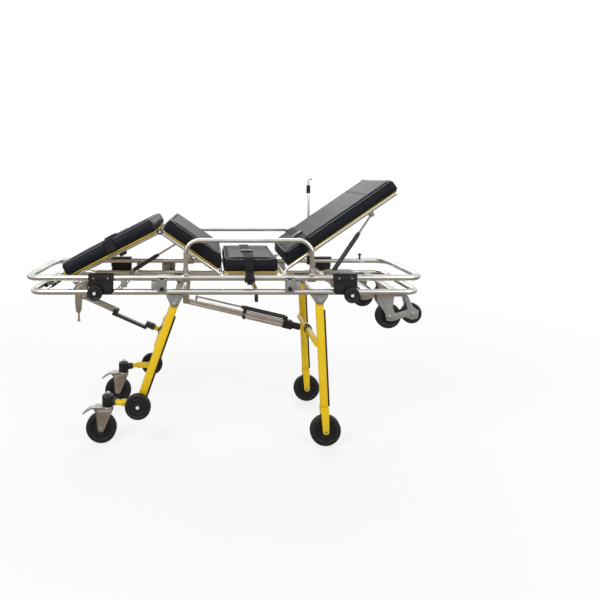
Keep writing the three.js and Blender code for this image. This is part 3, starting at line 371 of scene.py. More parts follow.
def rounded(points, radius, steps=5, closed=True):
    """Each corner becomes an arc that touches both its sides: centre + (sin((1-t)a) u + sin(ta) w) / sin a, for t from 0 to 1."""
    p = np.asarray(points, float)
    n, out, radii = len(p), [], np.broadcast_to(radius, len(p))
    for i in range(n):
        a, b = unit(p[i - 1] - p[i]), unit(p[(i + 1) % n] - p[i])
        turn = math.pi - math.acos(max(-1.0, min(1.0, float(a @ b))))
        if (not closed and i in (0, n - 1)) or radii[i] <= 0 or turn < 1e-3:
            out.append(p[i : i + 1])
            continue
        centre = p[i] + unit(a + b) * radii[i] / math.cos(turn / 2)
        u, w = (p[i] + side * radii[i] * math.tan(turn / 2) - centre for side in (a, b))
        t = np.linspace(0, 1, steps + 1)[:, None]
        out.append(centre + (np.sin((1 - t) * turn) * u + np.sin(t * turn) * w) / math.sin(turn))
    return np.vstack(out)


def circle(r, n=32):
    a = np.arange(n) * 2 * math.pi / n
    return np.stack([r * np.cos(a), r * np.sin(a)], -1)


def oblong(w, t, r, steps=5):
    """A rectangle w by t about the origin with corners of radius r."""
    return rounded([(-w / 2, -t / 2), (w / 2, -t / 2), (w / 2, t / 2), (-w / 2, t / 2)], r, steps)


# %% Prisms: bars, rods, plates and blocks
def prism(section, origin, axes, length, f=1.0):
    """A section moved along axes[2]. Near each end it is inset by f(1 - sin a) at height f(1 - cos a), a from 0 to 90 degrees, which rounds the edge."""
    s = np.asarray(section, float)
    if np.sum(s[:, 0] * np.roll(s[:, 1], -1) - s[:, 1] * np.roll(s[:, 0], -1)) < 0:
        s = s[::-1]
    e = unit(np.roll(s, -1, 0) - s)
    out = np.stack([e[:, 1], -e[:, 0]], -1)
    before = np.roll(out, 1, 0)
    mitre = (out + before) / np.maximum(1 + (out * before).sum(1, keepdims=True), 0.3)
    a = np.linspace(0, math.pi / 2, 4)
    inset, rise = f * (1 - np.sin(a)), f * (1 - np.cos(a))
    k, h = np.concatenate([inset, inset[::-1]]), np.concatenate([rise, length - rise[::-1]])
    flat = s[None] - k[:, None, None] * mitre[None]
    ex, ey, ez = (np.asarray(v, float) for v in axes)
    return loft(np.asarray(origin, float) + flat[..., :1] * ex + flat[..., 1:] * ey + h[:, None, None] * ez)


def bar(p, q, section, f=1.0, side=Y):
    """A straight bar from p to q; the section's second axis lies along side."""
    p, q = np.asarray(p, float), np.asarray(q, float)
    axis = unit(q - p)
    return prism(section, p, (np.cross(side, axis), side, axis), np.linalg.norm(q - p), f)


def rod(p, q, r, n=32, f=1.0):
    d = unit(np.asarray(q, float) - np.asarray(p, float))
    return bar(p, q, circle(r, n), f, unit(np.cross(d, Z if abs(d[2]) < 0.9 else Y)))


def rod_y(x, z, y0, y1, r, n=32, f=1.0):
    return rod((x, min(y0, y1), z), (x, max(y0, y1), z), r, n, f)


def block(x0, x1, y0, y1, z0, z1, f=1.5):
    y0, y1 = min(y0, y1), max(y0, y1)
    return prism(oblong(x1 - x0, y1 - y0, f, 3), ((x0 + x1) / 2, (y0 + y1) / 2, z0), (X, Y, Z), z1 - z0, f)


def plate(points, y0, y1, corner=3.0, f=0.8, steps=6):
    """A plate with its outline in x and z, between two values of y."""
    y0, y1 = min(y0, y1), max(y0, y1)
    return prism(rounded(points, corner, steps), (0, y0, 0), (X, Z, Y), y1 - y0, f)


def sweep(path, section, up=Y, looped=False, capped=True):
    """A section carried along a flat path: path[i] + s.x side[i] + s.y up, where side is the unit tangent crossed with up."""
    p, s, up = np.asarray(path, float), np.asarray(section, float), np.asarray(up, float)
    d = unit(np.diff(np.vstack([p, p[:1]]) if looped else p, axis=0))
    t = unit(d + np.roll(d, 1, 0)) if looped else unit(np.vstack([d[:1], d[1:] + d[:-1], d[-1:]]))
    side = unit(np.cross(t, up))
    return loft(p[:, None] + s[None, :, :1] * side[:, None] + s[None, :, 1:] * up, looped, capped)


def lathe(profile, centre, axis=Y, n=48):
    """A profile of (radius, height) turned about an axis: centre + r cos a e1 + r sin a e2 + h axis."""
    p, axis = np.asarray(profile, float), np.asarray(axis, float)
    e1 = unit(np.cross(axis, Z if abs(axis[2]) < 0.9 else X))
    e2 = np.cross(axis, e1)
    a = (np.arange(n) * 2 * math.pi / n)[:, None, None]
    r, h = p[None, :, :1], p[None, :, 1:]
    rings = np.asarray(centre, float) + r * np.cos(a) * e1 + r * np.sin(a) * e2 + h * axis
    return loft(rings, looped=True)


def screw(x, y, z, out, r=6.0, head=4.0):
    """A washer, a hexagon head and the tip of its thread, pointing along out times y."""
    return [rod_y(x, z, y, y + out * 1.2, r * 1.45, 24, 0.4), rod_y(x, z, y, y + out * head, r, 6, 0.6), rod_y(x, z,
        y, y + out * (head + 1.5), r * 0.45, 12, 0.4)]


# %% [markdown]
# ## From shapes to pieces
# A piece joins its shapes, merges their doubled points at poles and seams, turns every face outwards and rides on its body.
# One CAD node often shows several finishes, so a helper makes one piece for each finish and lets the first stand for the node.
# %% Make pieces
def flatten(shapes):
    return [s for group in shapes for s in (flatten(group) if isinstance(group, list) else [group])]


def piece(name, shapes, finish, body, replaces=(), smooth=38):
    """Shapes become one object at the origin, in metres, on the given body."""
    shapes = flatten(shapes)
    start, verts, faces, uvs = 0, [], [], []
    for v, quads, ends, uv in shapes:
        verts.append(v)
        faces += (quads + start).tolist() + [[k + start for k in ring] for ring in ends]
        uvs.append(np.vstack([uv, np.zeros((sum(map(len, ends)), 2))]))
        start += len(v)
    mesh = bpy.data.meshes.new(name)
    mesh.from_pydata(np.vstack(verts) * MM, [], faces)
    mesh.uv_layers.new(name="UVMap").data.foreach_set("uv", np.vstack(uvs).astype(np.float32).ravel())
    bm = bmesh.new()
    bm.from_mesh(mesh)
    bmesh.ops.remove_doubles(bm, verts=bm.verts, dist=1e-6)
    bmesh.ops.recalc_face_normals(bm, faces=bm.faces)
    bm.to_mesh(mesh)
    bm.free()
    mesh.shade_smooth()
    mesh.set_sharp_from_angle(angle=math.radians(smooth))
    mesh.materials.append(FINISH[finish])
    ob = bpy.data.objects.new(name, mesh)
    scene.collection.objects.link(ob)
    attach(ob, body)
    finish in SLOTS
    if replaces:
        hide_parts(*replaces)
    return ob


def assembly(name, body, replaces=(), **by_finish):
    """One piece for each finish; the first stands for the CAD nodes."""
    made = [piece(f"{name}_{finish}", shapes, finish, body, replaces if k == 0 else ()) for k, (finish,
        shapes) in enumerate(by_finish.items())]
    print(name, {o.name: len(o.data.polygons) for o in made})
    return made


def refined(node, finish, body, width=0.7, smooth=38):
    """A merged copy of a CAD node with rounded edges, for shapes that are already right but have knife edges."""
    mesh = frame["nodes"][node].data.copy()
    bm = bmesh.new()
    bm.from_mesh(mesh)
    bmesh.ops.remove_doubles(bm, verts=bm.verts, dist=1e-5)
    bmesh.ops.dissolve_limit(bm, angle_limit=math.radians(2), verts=bm.verts, edges=bm.edges)
    sharp = [e for e in bm.edges if len(e.link_faces) == 2 and e.calc_face_angle(0) > math.radians(38)]
    bmesh.ops.bevel(bm, geom=sharp, offset=width * MM, segments=2, profile=0.7, affect="EDGES", clamp_overlap=True)
    bmesh.ops.recalc_face_normals(bm, faces=bm.faces)
    bm.to_mesh(mesh)
    bm.free()
    mesh.materials.clear()
    mesh.materials.append(FINISH[finish])
    mesh.shade_smooth()
    mesh.set_sharp_from_angle(angle=math.radians(smooth))
    ob = bpy.data.objects.new(node + "_body", mesh)
    scene.collection.objects.link(ob)
    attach(ob, body)
    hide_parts(node)
    return ob


SIDES = (("near", -1), ("far", 1))

# %% [markdown]
# ## The undercarriage ring
# A closed ring of polished tube with cross-tubes, flat bars and the plates that carry the braces.
# The ring is one swept circle round a rounded rectangle, so its bends stay true and its seam closes.
# %% Undercarriage ring
RAIL_Y, RAIL_Z, RAIL_R = 265, 820, 15
LOWER_Z, LOWER_R = 751, 14


def ring(x0, x1, z, r, corner):
    path = rounded([(x0, -RAIL_Y, z), (x1, -RAIL_Y, z), (x1, RAIL_Y, z), (x0, RAIL_Y, z)], corner, 14)
    return sweep(path, circle(r, 28), Z, looped=True)


def hanger(px, pz, cross_x, half_gap):
    """A pair of plates from a cross-tube down to a brace's pivot, with the pin through them."""
    side = [(cross_x - 24, LOWER_Z + 4), (cross_x + 24, LOWER_Z + 4), (px + 14, pz - 12), (px - 14, pz - 12)]
    plates = [plate(side, s * half_gap, s * (half_gap + 5), 8, 0.8) for s in (-1, 1)]
    return plates + [rod_y(px, pz, -half_gap - 3, half_gap + 3, 5)] + screw(px, -half_gap - 5, pz, -1, 6) + screw(px,
        half_gap + 5, pz, 1, 6)


assembly(
    "undercarriage_ring", "undercarriage", ["lower_frame"],
    polished_aluminium=[
        ring(-941, 944, LOWER_Z, LOWER_R, 60),
        *[rod_y(x, LOWER_Z, -RAIL_Y, RAIL_Y, 11) for x in (-741, -198, 158, -520)],
        *[block(x - 18, x + 18, -RAIL_Y, RAIL_Y, LOWER_Z - 6, LOWER_Z + 6, 1.5) for x in (700, 838)],
        rod_y(-884, 751, -RAIL_Y, RAIL_Y, 6),
        *[rod_y(x, LOWER_Z, s * 244, s * 252, 14.5, 32, 1.2) for x in (-741, -198, 158, -520) for s in (-1, 1)],
    ],
    plated_steel=[block(-800, -716, -27, 27, LOWER_Z - 9, LOWER_Z + 5, 2), hanger(-741, 669, -752, 18), hanger(-198,
        648, -198, 20)],
    grey_casting=[block(x - 22, x + 22, s * RAIL_Y - 11, s * RAIL_Y + 11, LOWER_Z, RAIL_Z - RAIL_R - 0.3,
        2.5) for x in (-330, 349) for s in (-1, 1)],
    black_plastic=[lathe(rounded([(0.01, -2), (9, -2), (9, 26), (6, 31), (0.01, 31)], [0, 1, 1, 2, 0], 3), (158,
        s * RAIL_Y, 733), -Z, 24) for s in (-1, 1)],
)

# %% [markdown]
# ## The locking post
# A tapered steel housing under the foot end with a thin pin and a disc, which the catch on a vehicle's floor grips.
# %% Locking post
assembly(
    "locking_post", "undercarriage", ["floor_lock_post"],
    plated_steel=[
        plate([(-792, 741.7), (-760, 741.7), (-760, 640), (-762, 588), (-786, 588), (-792, 640)], -15, 15, 3, 2.5),
        rod((-774, 0, 590), (-774, 0, 541), 5), rod((-774, 0, 545), (-774, 0, 535), 8),
        rod((-774, 0, 592), (-774, 0, 580), 9, 6), screw(-776, -15, 690, -1, 5), screw(-776, 15, 690, 1, 5),
    ],
)

# %% [markdown]
# ## Pivot castings and loading-wheel castings
# These castings already have the right outline in the frame. A merged copy with its edges rounded keeps that outline,
# and the bolts, washers and bright shaft are added as pieces of their own.
# %% Castings
for where, px, pz in (("front", -239, 694), ("rear", 466, 707)):
    refined(f"{where}_pivot_set", "grey_casting", "undercarriage", 1.0)
    assembly(
        f"{where}_pivot_shaft", "undercarriage",
        plated_steel=[rod_y(px, pz, -236, 236, 10.5)] + [screw(px, s * 277, pz, s, 8.5, 6) for s in (-1, 1)],
    )
for side, s in SIDES:
    refined(f"load_bracket_{side}", "grey_casting", "undercarriage", 1.1)
    assembly(
        f"load_axles_{side}", "undercarriage",
        plated_steel=[screw(x, s * 220 + k * 24, z, k, 6.5, 5) for x, z in ((812, 625), (927, 637)) for k in (-1, 1)],
    )


# %% [markdown]
# ## Wheels
# A wheel is two turned profiles: a tyre with rounded shoulders and a hub that is dished, ringed and carries its bearing.
# The same formulas serve every size on the cot. Rolling pieces ride on the wheel's body, and caps stay with the axle.
# %% Wheels
def wheel(name, body, x, y, z, radius, width, hub, dished=True):
    """Tyre and hub profiles in (radius, height), turned about the axle along y."""
    w = width / 2
    rim = radius * (0.70 if dished else 0.80)
    tyre = rounded(
        [(rim - 1, -w + 2), (rim + 2, -w + 0.3), (radius * 0.90, -w), (radius, -w + 5.5), (radius, w - 5.5),
            (radius * 0.90, w), (rim + 2, w - 0.3), (rim - 1, w - 2)],
        [0.5, 1, 4, 4.5, 4.5, 4, 1, 0.5], 4,
    )
    deep = w * 0.45 if dished else w - 3.0
    half = [(6, w + 1.2), (hub * 0.55, w + 1.2), (hub * 0.60, w - 0.2), (hub, w - 0.2), (hub * 1.08, deep),
        (rim * 0.62, deep), (rim * 0.65, deep + 1.4), (rim * 0.72, deep + 1.4), (rim * 0.75, deep), (rim - 5, deep),
            (rim - 3, w - 1.6), (rim, w - 1.6)]
    body_profile = rounded(half + [(r, -h) for r, h in half[::-1]], 0.7, 2)
    assembly(
        name, body, [name],
        black_tyre=[lathe(tyre, (x, y, z), n=64)],
        black_plastic=[lathe(body_profile, (x, y, z), n=64)],
    )


def cap(x, y, z, out, r):
    """A shallow white dome over the end of an axle."""
    a = np.linspace(0, math.pi / 2, 6)
    dome = np.stack([r * np.cos(a), 1.5 + 2.0 * np.sin(a)], -1)
    return lathe(np.vstack([[(0.0, 0.0), (r, 0.0)], dome]), (x, y, z), Y * out, 32)


for side, s in SIDES:
    wheel(f"caster_wheel_{side}", f"caster_wheel_{side}", -604, s * 226, 75, 75, 32, 20)
    wheel(f"rear_wheel_{side}", f"rear_wheel_{side}", 495, s * 255, 75, 75, 32, 20)
    wheel(f"aux_wheel_{side}", f"aux_wheel_{side}", -415, s * 289, 204, 62.5, 28, 16, False)
    wheel(f"load_wheel_big_{side}", f"load_wheel_big_{side}", 812, s * 220, 625, 62.5, 30, 16)
    wheel(f"load_wheel_small_{side}", f"load_wheel_small_{side}", 927, s * 220, 637, 50, 30, 14)
    for where, x, z in (("foot", -621, 752), ("head", 614, 742)):
        wheel(f"stretcher_wheel_{where}_{side}", f"stretcher_wheel_{where}_{side}", x, s * 300, z, 37.5, 20, 11,
            False)

# %% [markdown]
# ## Sections of the platform
# The thigh, leg and back sections are drawn along and above their own hinge lines, so a point is (d, n) and one function maps it to x and z.
# %% Section coordinates
def along(hinge, angle, side):
    """d along the section from its hinge and n above it: x = hx + side (d cos a - n sin a), z = hz + d sin a + n cos a."""
    c, s = math.cos(math.radians(angle)), math.sin(math.radians(angle))
    return lambda d, n: (hinge[0] + side * (d * c - n * s), hinge[1] + d * s + n * c)


thigh_at = along((-15, 830), 35, -1)
KNEE = thigh_at(365, 0)
leg_at = along(KNEE, -27.2, -1)
back_at = along((297, 830), 34.5, 1)


def seat_at(d, n):
    return (d, 830 + n)


def at(xz, y):
    return (xz[0], y, xz[1])


def board(where, d0, d1, n0, n1, half, f=1.0, corner=0.0):
    """A flat board on a section, from edge to edge across the cot."""
    return plate([where(d0, n0), where(d1, n0), where(d1, n1), where(d0, n1)], -half, half, corner, f)


print("knee", [round(v, 1) for v in KNEE], "head of the back", [round(v, 1) for v in back_at(706, 26)])

# %% [markdown]
# ## Legs
# Each leg is an oval tube, wider along the cot than across it, so the section is an oblong with generous corners carried along a straight line.
# The front legs bend into stubs that end in black sockets for the casters; the rear legs end in yellow forks with round tips.
# A black rubber strip runs down the back of every leg and guards the paint while the legs fold.
# %% Leg parts
FRONT_PIVOT, FRONT_BEND, REAR_PIVOT, REAR_AXLE = (-239, 694), (-412, 207), (466, 707), (495, 75)
FRONT_CROSS, REAR_CROSS = (-326, 485), (456, 495)


def toward(a, b, reach):
    a, b = np.asarray(a, float), np.asarray(b, float)
    return a + (b - a) * reach / np.linalg.norm(b - a)


def blade(a, b, y, over0, over1):
    """An oval leg tube between two points of a vertical plane, run past both."""
    p, q = toward(a, b, -over0), toward(b, a, -over1)
    return bar(at(p, y), at(q, y), oblong(40, 26, 12, 7), 1.5)


def strip(a, b, y, reach0, reach1):
    """A half-round rubber strip on the +x side of a leg."""
    p, q = toward(a, b, reach0), toward(b, a, reach1)
    run = unit(q - p)
    off = np.array([-run[1], run[0]]) * 20.5
    off = off if off[0] > 0 else -off
    section = rounded([(-3, -7), (7, -4.5), (7, 4.5), (-3, 7)], [0.5, 3.5, 3.5, 0.5], 4)
    section[:, 0] *= 1 if np.cross(Y, (run[0], 0, run[1]))[0] > 0 else -1
    return bar(at(p + off, y), at(q + off, y), section, 3.0)


def lug(cross, brace):
    tip = toward(cross, brace, 58)
    d = unit(tip - np.asarray(cross, float))
    n = np.array([-d[1], d[0]])
    c = np.asarray(cross, float)
    return plate([c + n * 12, tip + n * 10, tip - n * 10, c - n * 12], -6, 6, [0.5, 7, 7, 0.5], 1.2)


# %% Front legs
def front_leg(s):
    y, sy, stub = s * 255, s * 226, 208.5
    path = rounded([(FRONT_BEND[0] + 28, y, FRONT_BEND[1] + 76), (FRONT_BEND[0] - 8, y, stub), (-500, y, stub)], [0,
        40, 0], 10, False)
    into = rounded([(-480, y, stub), (-505, y, stub), (-562, sy, stub)], [0, 40, 0], 8, False)
    return {
        "yellow": [
            blade(FRONT_PIVOT, FRONT_BEND, y, 14, 10), sweep(path, circle(13.2, 28)), sweep(into, circle(13.2, 28),
                Z),
            sweep([(-432, y, stub), (-496, y, stub)], circle(17, 32)), rod_y(-415, 204, y, s * 273, 9),
        ],
        "rubber": [strip(FRONT_PIVOT, FRONT_BEND, y, 60, 6)],
        "black": [
            lathe(rounded([(0.01, -27), (26, -27), (28, -25), (28, 23), (25, 27), (16, 27.5), (0.01, 27.5)], [0, 1, 1,
                3, 2, 0.5, 0], 3), (-572, sy, 208.5), Z, 48),
            sweep([(-526, y - s * 11, stub), (-552, sy + s * 4, stub)], circle(17.5, 28), Z),
            lathe(rounded([(0.01, -1.2), (29, -1.2), (29, 1.2), (0.01, 1.2)], [0, 1, 1, 0], 3), (-572, sy, 221), Z,
                48),
        ],
        "white": [cap(-415, s * 304.8, 204, s, 8.5)],
    }


legs = [front_leg(s) for _, s in SIDES]
assembly(
    "front_legs", "front_legs", ["front_leg_frame"],
    yellow_paint=[p["yellow"] for p in legs] + [rod_y(*FRONT_CROSS, -255, 255, 16), lug(FRONT_CROSS, (-741, 669))],
    black_tyre=[p["rubber"] for p in legs],
    black_plastic=[p["black"] for p in legs] + [rod_y(*FRONT_CROSS, s * 7, s * 22, 22, 36, 2) for s in (-1, 1)],
    white_plastic=[p["white"] for p in legs],
)


# %% Rear legs
def rear_leg(s):
    y = s * 255
    crown = toward(REAR_AXLE, REAR_PIVOT, 89)
    top, low = toward(REAR_AXLE, REAR_PIVOT, 115), toward(REAR_AXLE, REAR_PIVOT, -14)
    cheek = [(top[0] - 20, top[1]), (top[0] + 20, top[1]), (low[0] + 15, low[1]), (low[0] - 15, low[1])]
    return {
        "yellow": [
            blade(REAR_PIVOT, crown, y, 14, 4), block(crown[0] - 20, crown[0] + 20, y - 22.4, y + 22.4, crown[1] - 6,
                crown[1] + 24, 5),
            *[plate(cheek, y + k * 19, y + k * 23, [3, 3, 14, 14], 1.2) for k in (-1, 1)],
        ],
        "rubber": [strip(REAR_PIVOT, crown, y, 46, 26)],
        "steel": [screw(REAR_AXLE[0], y + k * 23.2, REAR_AXLE[1], k, 5.5, 4.5) for k in (-1,
            1)] + [rod_y(REAR_AXLE[0], REAR_AXLE[1], y - 23, y + 23, 5)],
    }


legs = [rear_leg(s) for _, s in SIDES]
assembly(
    "rear_legs", "rear_legs", ["rear_leg_frame"],
    yellow_paint=[p["yellow"] for p in legs] + [rod_y(*REAR_CROSS, -255, 255, 16), lug(REAR_CROSS, (-198, 648))],
    black_tyre=[p["rubber"] for p in legs],
    plated_steel=[p["steel"] for p in legs],
    black_plastic=[rod_y(*REAR_CROSS, s * 7, s * 22, 22, 36, 2) for s in (-1, 1)],
)

# %% [markdown]
# ## Casters
# A pressed fork with a rounded foot hangs under each socket. Its cheeks are plates with generous corners and a pressed rib,
# its crown is a turned bearing race, and a nut holds it on top. The brake is a bent pedal on a black pivot.
# %% Casters and brakes
for side, s in SIDES:
    y, ax, crown = s * 226, -604, 180.7
    cheek = [(-548, crown), (-548, crown - 22), (ax + 13, 60), (ax - 13, 60), (ax - 22, crown - 30), (ax - 34,
        crown - 12), (ax - 34, crown)]
    inner = [(-560, crown - 16), (-563, crown - 26), (ax + 10, 84), (ax - 8, 84), (ax - 14, crown - 30), (ax - 14,
        crown - 16)]
    assembly(
        f"caster_fork_{side}", f"caster_{side}", [f"caster_yoke_{side}"],
        plated_steel=[
            *[plate(cheek, y + k * 19, y + k * 23, [3, 8, 12, 12, 10, 5, 3], 1.0) for k in (-1, 1)],
            *[plate(inner, y + k * 22, y + k * 24.2, 6, 1.1) for k in (-1, 1)],
            block(ax - 34, -548, y - 23, y + 23, crown - 5, crown, 2),
            lathe(rounded([(0.01, -6), (24, -6), (26, -3), (24, 0), (0.01, 0)], [0, 1, 1, 1, 0], 3), (-572, y, crown),
                Z, 48),
            rod((-572, y, crown), (-572, y, 250), 8), rod((-572, y, 236.3), (-572, y, 247), 12, 6, 1.2),
            *[screw(ax, y + k * 23, 75, k, 6.5, 4.5) for k in (-1, 1)], rod_y(ax, 75, y - 23, y + 23, 5), rod_y(-630,
                167.7, y - 23, y + 23, 4),
        ],
    )
    bx, bz = -630, 167.7
    pedal = [(bx, bz - 3), (bx, bz + 7), (bx - 20, bz + 9), (bx - 46, bz - 4), (bx - 66, bz - 22), (bx - 62, bz - 26),
        (bx - 42, bz - 11), (bx - 20, bz + 1)]
    ribs = [(bx - 24 - 7 * k, bz + 4.5 - 4.1 * k) for k in range(5)]
    assembly(
        f"brake_pedal_{side}", f"brake_{side}", [f"caster_brake_{side}"],
        plated_steel=[plate(pedal, y - 14, y + 14, [0.5, 2, 6, 8, 2, 1, 8, 6], 0.8),
            *[rod_y(x, z, y - 11, y + 11, 1.6, 10, 0.6) for x, z in ribs]],
        black_plastic=[rod_y(bx, bz, y - 17, y + 17, 8, 28, 1.5)],
    )


# %% [markdown]
# ## Braces and gas springs
# The braces are telescopes: a channel or a bar that slides in a larger one, ending in a fork at the leg's cross-tube.
# Drawn along x from its pivot, a piece is laid on the line between its two pivots by one function.
# A gas spring is a black cylinder with a turned neck, a bright rod and an eye at each end.
# %% Braces
def laid(a, b):
    """Maps (l, y, n), l along the line from a to b and n above it, to x, y, z."""
    d = unit(np.asarray(b, float) - np.asarray(a, float))
    n = np.array([-d[1], d[0]]) * (1 if d[0] > 0 else -1)
    return lambda l, y, h: (a[0] + d[0] * l + n[0] * h, y, a[1] + d[1] * l + n[1] * h)


def profile(w, t, r, groove=0.0):
    """The section of a rectangular bar; groove is half the width of a channel along both its faces."""
    if not groove:
        return oblong(t, w, r, 4)
    g = groove
    half = [(-t / 2, -w / 2), (-g, -w / 2), (-g, -w / 2 + 1.5), (g, -w / 2 + 1.5), (g, -w / 2), (t / 2, -w / 2)]
    return rounded(half + [(-u, -v) for u, v in half], [r, 0.4, 0.4, 0.4, 0.4, r] * 2, 3)


def beam(place, l0, l1, w, t, h=0.0, y=0.0, r=3.0, f=0.8, groove=0.0):
    """A solid bar w across the cot and t high."""
    return bar(place(l0, y, h), place(l1, y, h), profile(w, t, r, groove), f)


def tube(place, l0, l1, w, t, bore, r=3.0, groove=0.0):
    """A hollow bar: the outer rings and the same section scaled to the bore, joined into one closed shell."""
    section, p, q = profile(w, t, r, groove), np.asarray(place(l0, 0, 0)), np.asarray(place(l1, 0, 0))
    length, axis = np.linalg.norm(q - p), unit(q - p)
    flat = section[:, :1] * np.cross(Y, axis) + section[:, 1:] * Y
    inner = bore / (w / 2)
    rows = [(0, 0.96), (0.8, 1), (length - 0.8, 1), (length, 0.96), (length, inner), (0, inner)]
    return loft(np.array([p + axis * reach + flat * k for reach, k in rows]), looped=True)


rear = laid((-198, 648), REAR_CROSS)
rear_end = float(np.linalg.norm(np.subtract(REAR_CROSS, (-198, 648)))) - 44
assembly(
    "rear_brace_inner", "rear_bar", ["rear_brace_bar"],
    polished_aluminium=[beam(rear, -14, 346, 30, 30, groove=4.5)],
    plated_steel=[screw(-198, k * 15, 648, k, 6, 3) for k in (-1, 1)] + [beam(rear, 46, 58, 10, 24, 22, r=2),
        rod_y(rear(52, 0, 33)[0], rear(52, 0, 33)[2], -5, 5, 7)],
)
assembly(
    "rear_brace_outer", "rear_sleeve", ["rear_brace_sleeve"],
    polished_aluminium=[tube(rear, 314, rear_end - 66, 40, 40, 16.4, groove=6.0)],
    black_plastic=[
        tube(rear, rear_end - 96, rear_end - 44, 44, 44, 16.6, r=6), tube(rear, 313, 329, 43, 43, 16.6, r=5),
        *[beam(rear, rear_end - 50, rear_end, 7, 30, y=k * 11.5, r=2.5) for k in (-1, 1)],
        beam(rear, rear_end - 86, rear_end - 74, 10, 16, 26, r=2), rod_y(rear(rear_end - 80, 0, 33)[0],
            rear(rear_end - 80, 0, 33)[2], -5, 5, 7),
    ],
    plated_steel=[rod(rear(326, 0, -19), rear(326, 0, -30), 5, 6, 1),
        *[screw(rear(322, 0, 0)[0], k * 21.5, rear(322, 0, 0)[2], k, 4, 2.5) for k in (-1, 1)]],
)
refined("front_brace_channel", "plated_steel", "front_channel", 0.6)
refined("front_brace_bar", "black_steel", "front_bar", 0.8)


# %% Gas springs
def spring_can(place, l0, l1, y=0.0, h=0.0, r=11.0):
    """A cylinder with a rounded foot and a necked mouth, turned about the line l0 to l1."""
    span = abs(l1 - l0)
    profile = rounded([(0.01, 0), (r - 2, 0), (r, 3), (r, span - 14), (r - 2.5, span - 9), (r - 2.5, span - 5),
        (r - 0.5, span - 4), (r - 0.5, span), (0.01, span)], [0, 1, 2, 2, 1, 1, 1, 1, 0], 3)
    p, q = np.asarray(place(l0, y, h)), np.asarray(place(l1, y, h))
    return lathe(profile, p, unit(q - p), 36)


def eye(place, l, y, h, half=9.0, r=9.0):
    x, _, z = place(l, y, h)
    return [rod_y(x, z, y - half, y + half, r, 32, 1.2), rod_y(x, z, y - half - 2, y + half + 2, r * 0.45, 24, 0.6)]


assembly("rear_spring_can", "rear_sleeve", ["rear_gas_cylinder"],
    black_steel=[spring_can(rear, rear_end - 87.3, 300, 0, 33)])
assembly("rear_spring_rod", "rear_bar", ["rear_gas_rod"], plated_steel=[rod(rear(59.3, 0, 33), rear(308, 0, 33), 5)])
for name, base, top, y, length, cylinder, piston in (
    ("thigh", (-486, 806), thigh_at(255, -16), 0, 165, "thigh_cylinder", "thigh_rod"),
    ("back", (547, 815), back_at(540, -20), -150, 255, "back_cylinder", "back_rod"),
):
    line = laid(base, top)
    whole = float(np.linalg.norm(np.subtract(top, base)))
    assembly(
        f"{name}_spring_can", cylinder, [f"{name}_spring_cylinder"],
        black_steel=[spring_can(line, 10, length, y), eye(line, 0, y, 0)[:1]],
        plated_steel=eye(line, 0, y, 0)[1:],
    )
    assembly(f"{name}_spring_piston", piston, [f"{name}_spring_rod"],
        plated_steel=[rod(line(length - 22, y, 0), line(whole - 7, y, 0), 5), eye(line, whole, y, 0)])

# %% [markdown]
# ## Release lever
# A black sleeve on the shaft inside the foot end, with a padded grip, two arms and bright screws.
# %% Release lever
assembly(
    "foot_release", "lever", ["release_lever"],
    black_plastic=[
        rod_y(-884, 751, -120, 120, 11, 32, 3), rod_y(-918, 750, -108, 108, 9, 32, 4),
        *[plate([(-884, 741), (-872, 750), (-884, 762), (-918, 760), (-929, 750), (-918, 740)], s * 84, s * 108, [6,
            8, 6, 6, 8, 6], 2.5) for s in (-1, 1)],
        *[rod_y(-918, 750, s * 20 * k - 1.2, s * 20 * k + 1.2, 9.7, 32, 0.8) for k in range(4) for s in (-1, 1)],
    ],
    plated_steel=[*[screw(-900, s * 108, 751, s, 4.5, 3) for s in (-1, 1)],
        *[rod_y(-884, 751, s * 60, s * 68, 12.2, 32, 1) for s in (-1, 1)]],
)

# %% [markdown]
# ## The stretcher ring
# The upper ring is the same sweep as the lower one with a thicker tube. It carries the hinge tubes, two crossmembers, the seat board,
# the ears of the gas springs, the latch plates and the clamp of the drip pole.
# %% Stretcher ring
def ears(x0, x1, z0, z1, y, gap):
    return [plate([(x0, z0), (x1, z0), (x1, z1), (x0, z1)], y + s * gap, y + s * (gap + 4), 5, 0.8) for s in (-1, 1)]


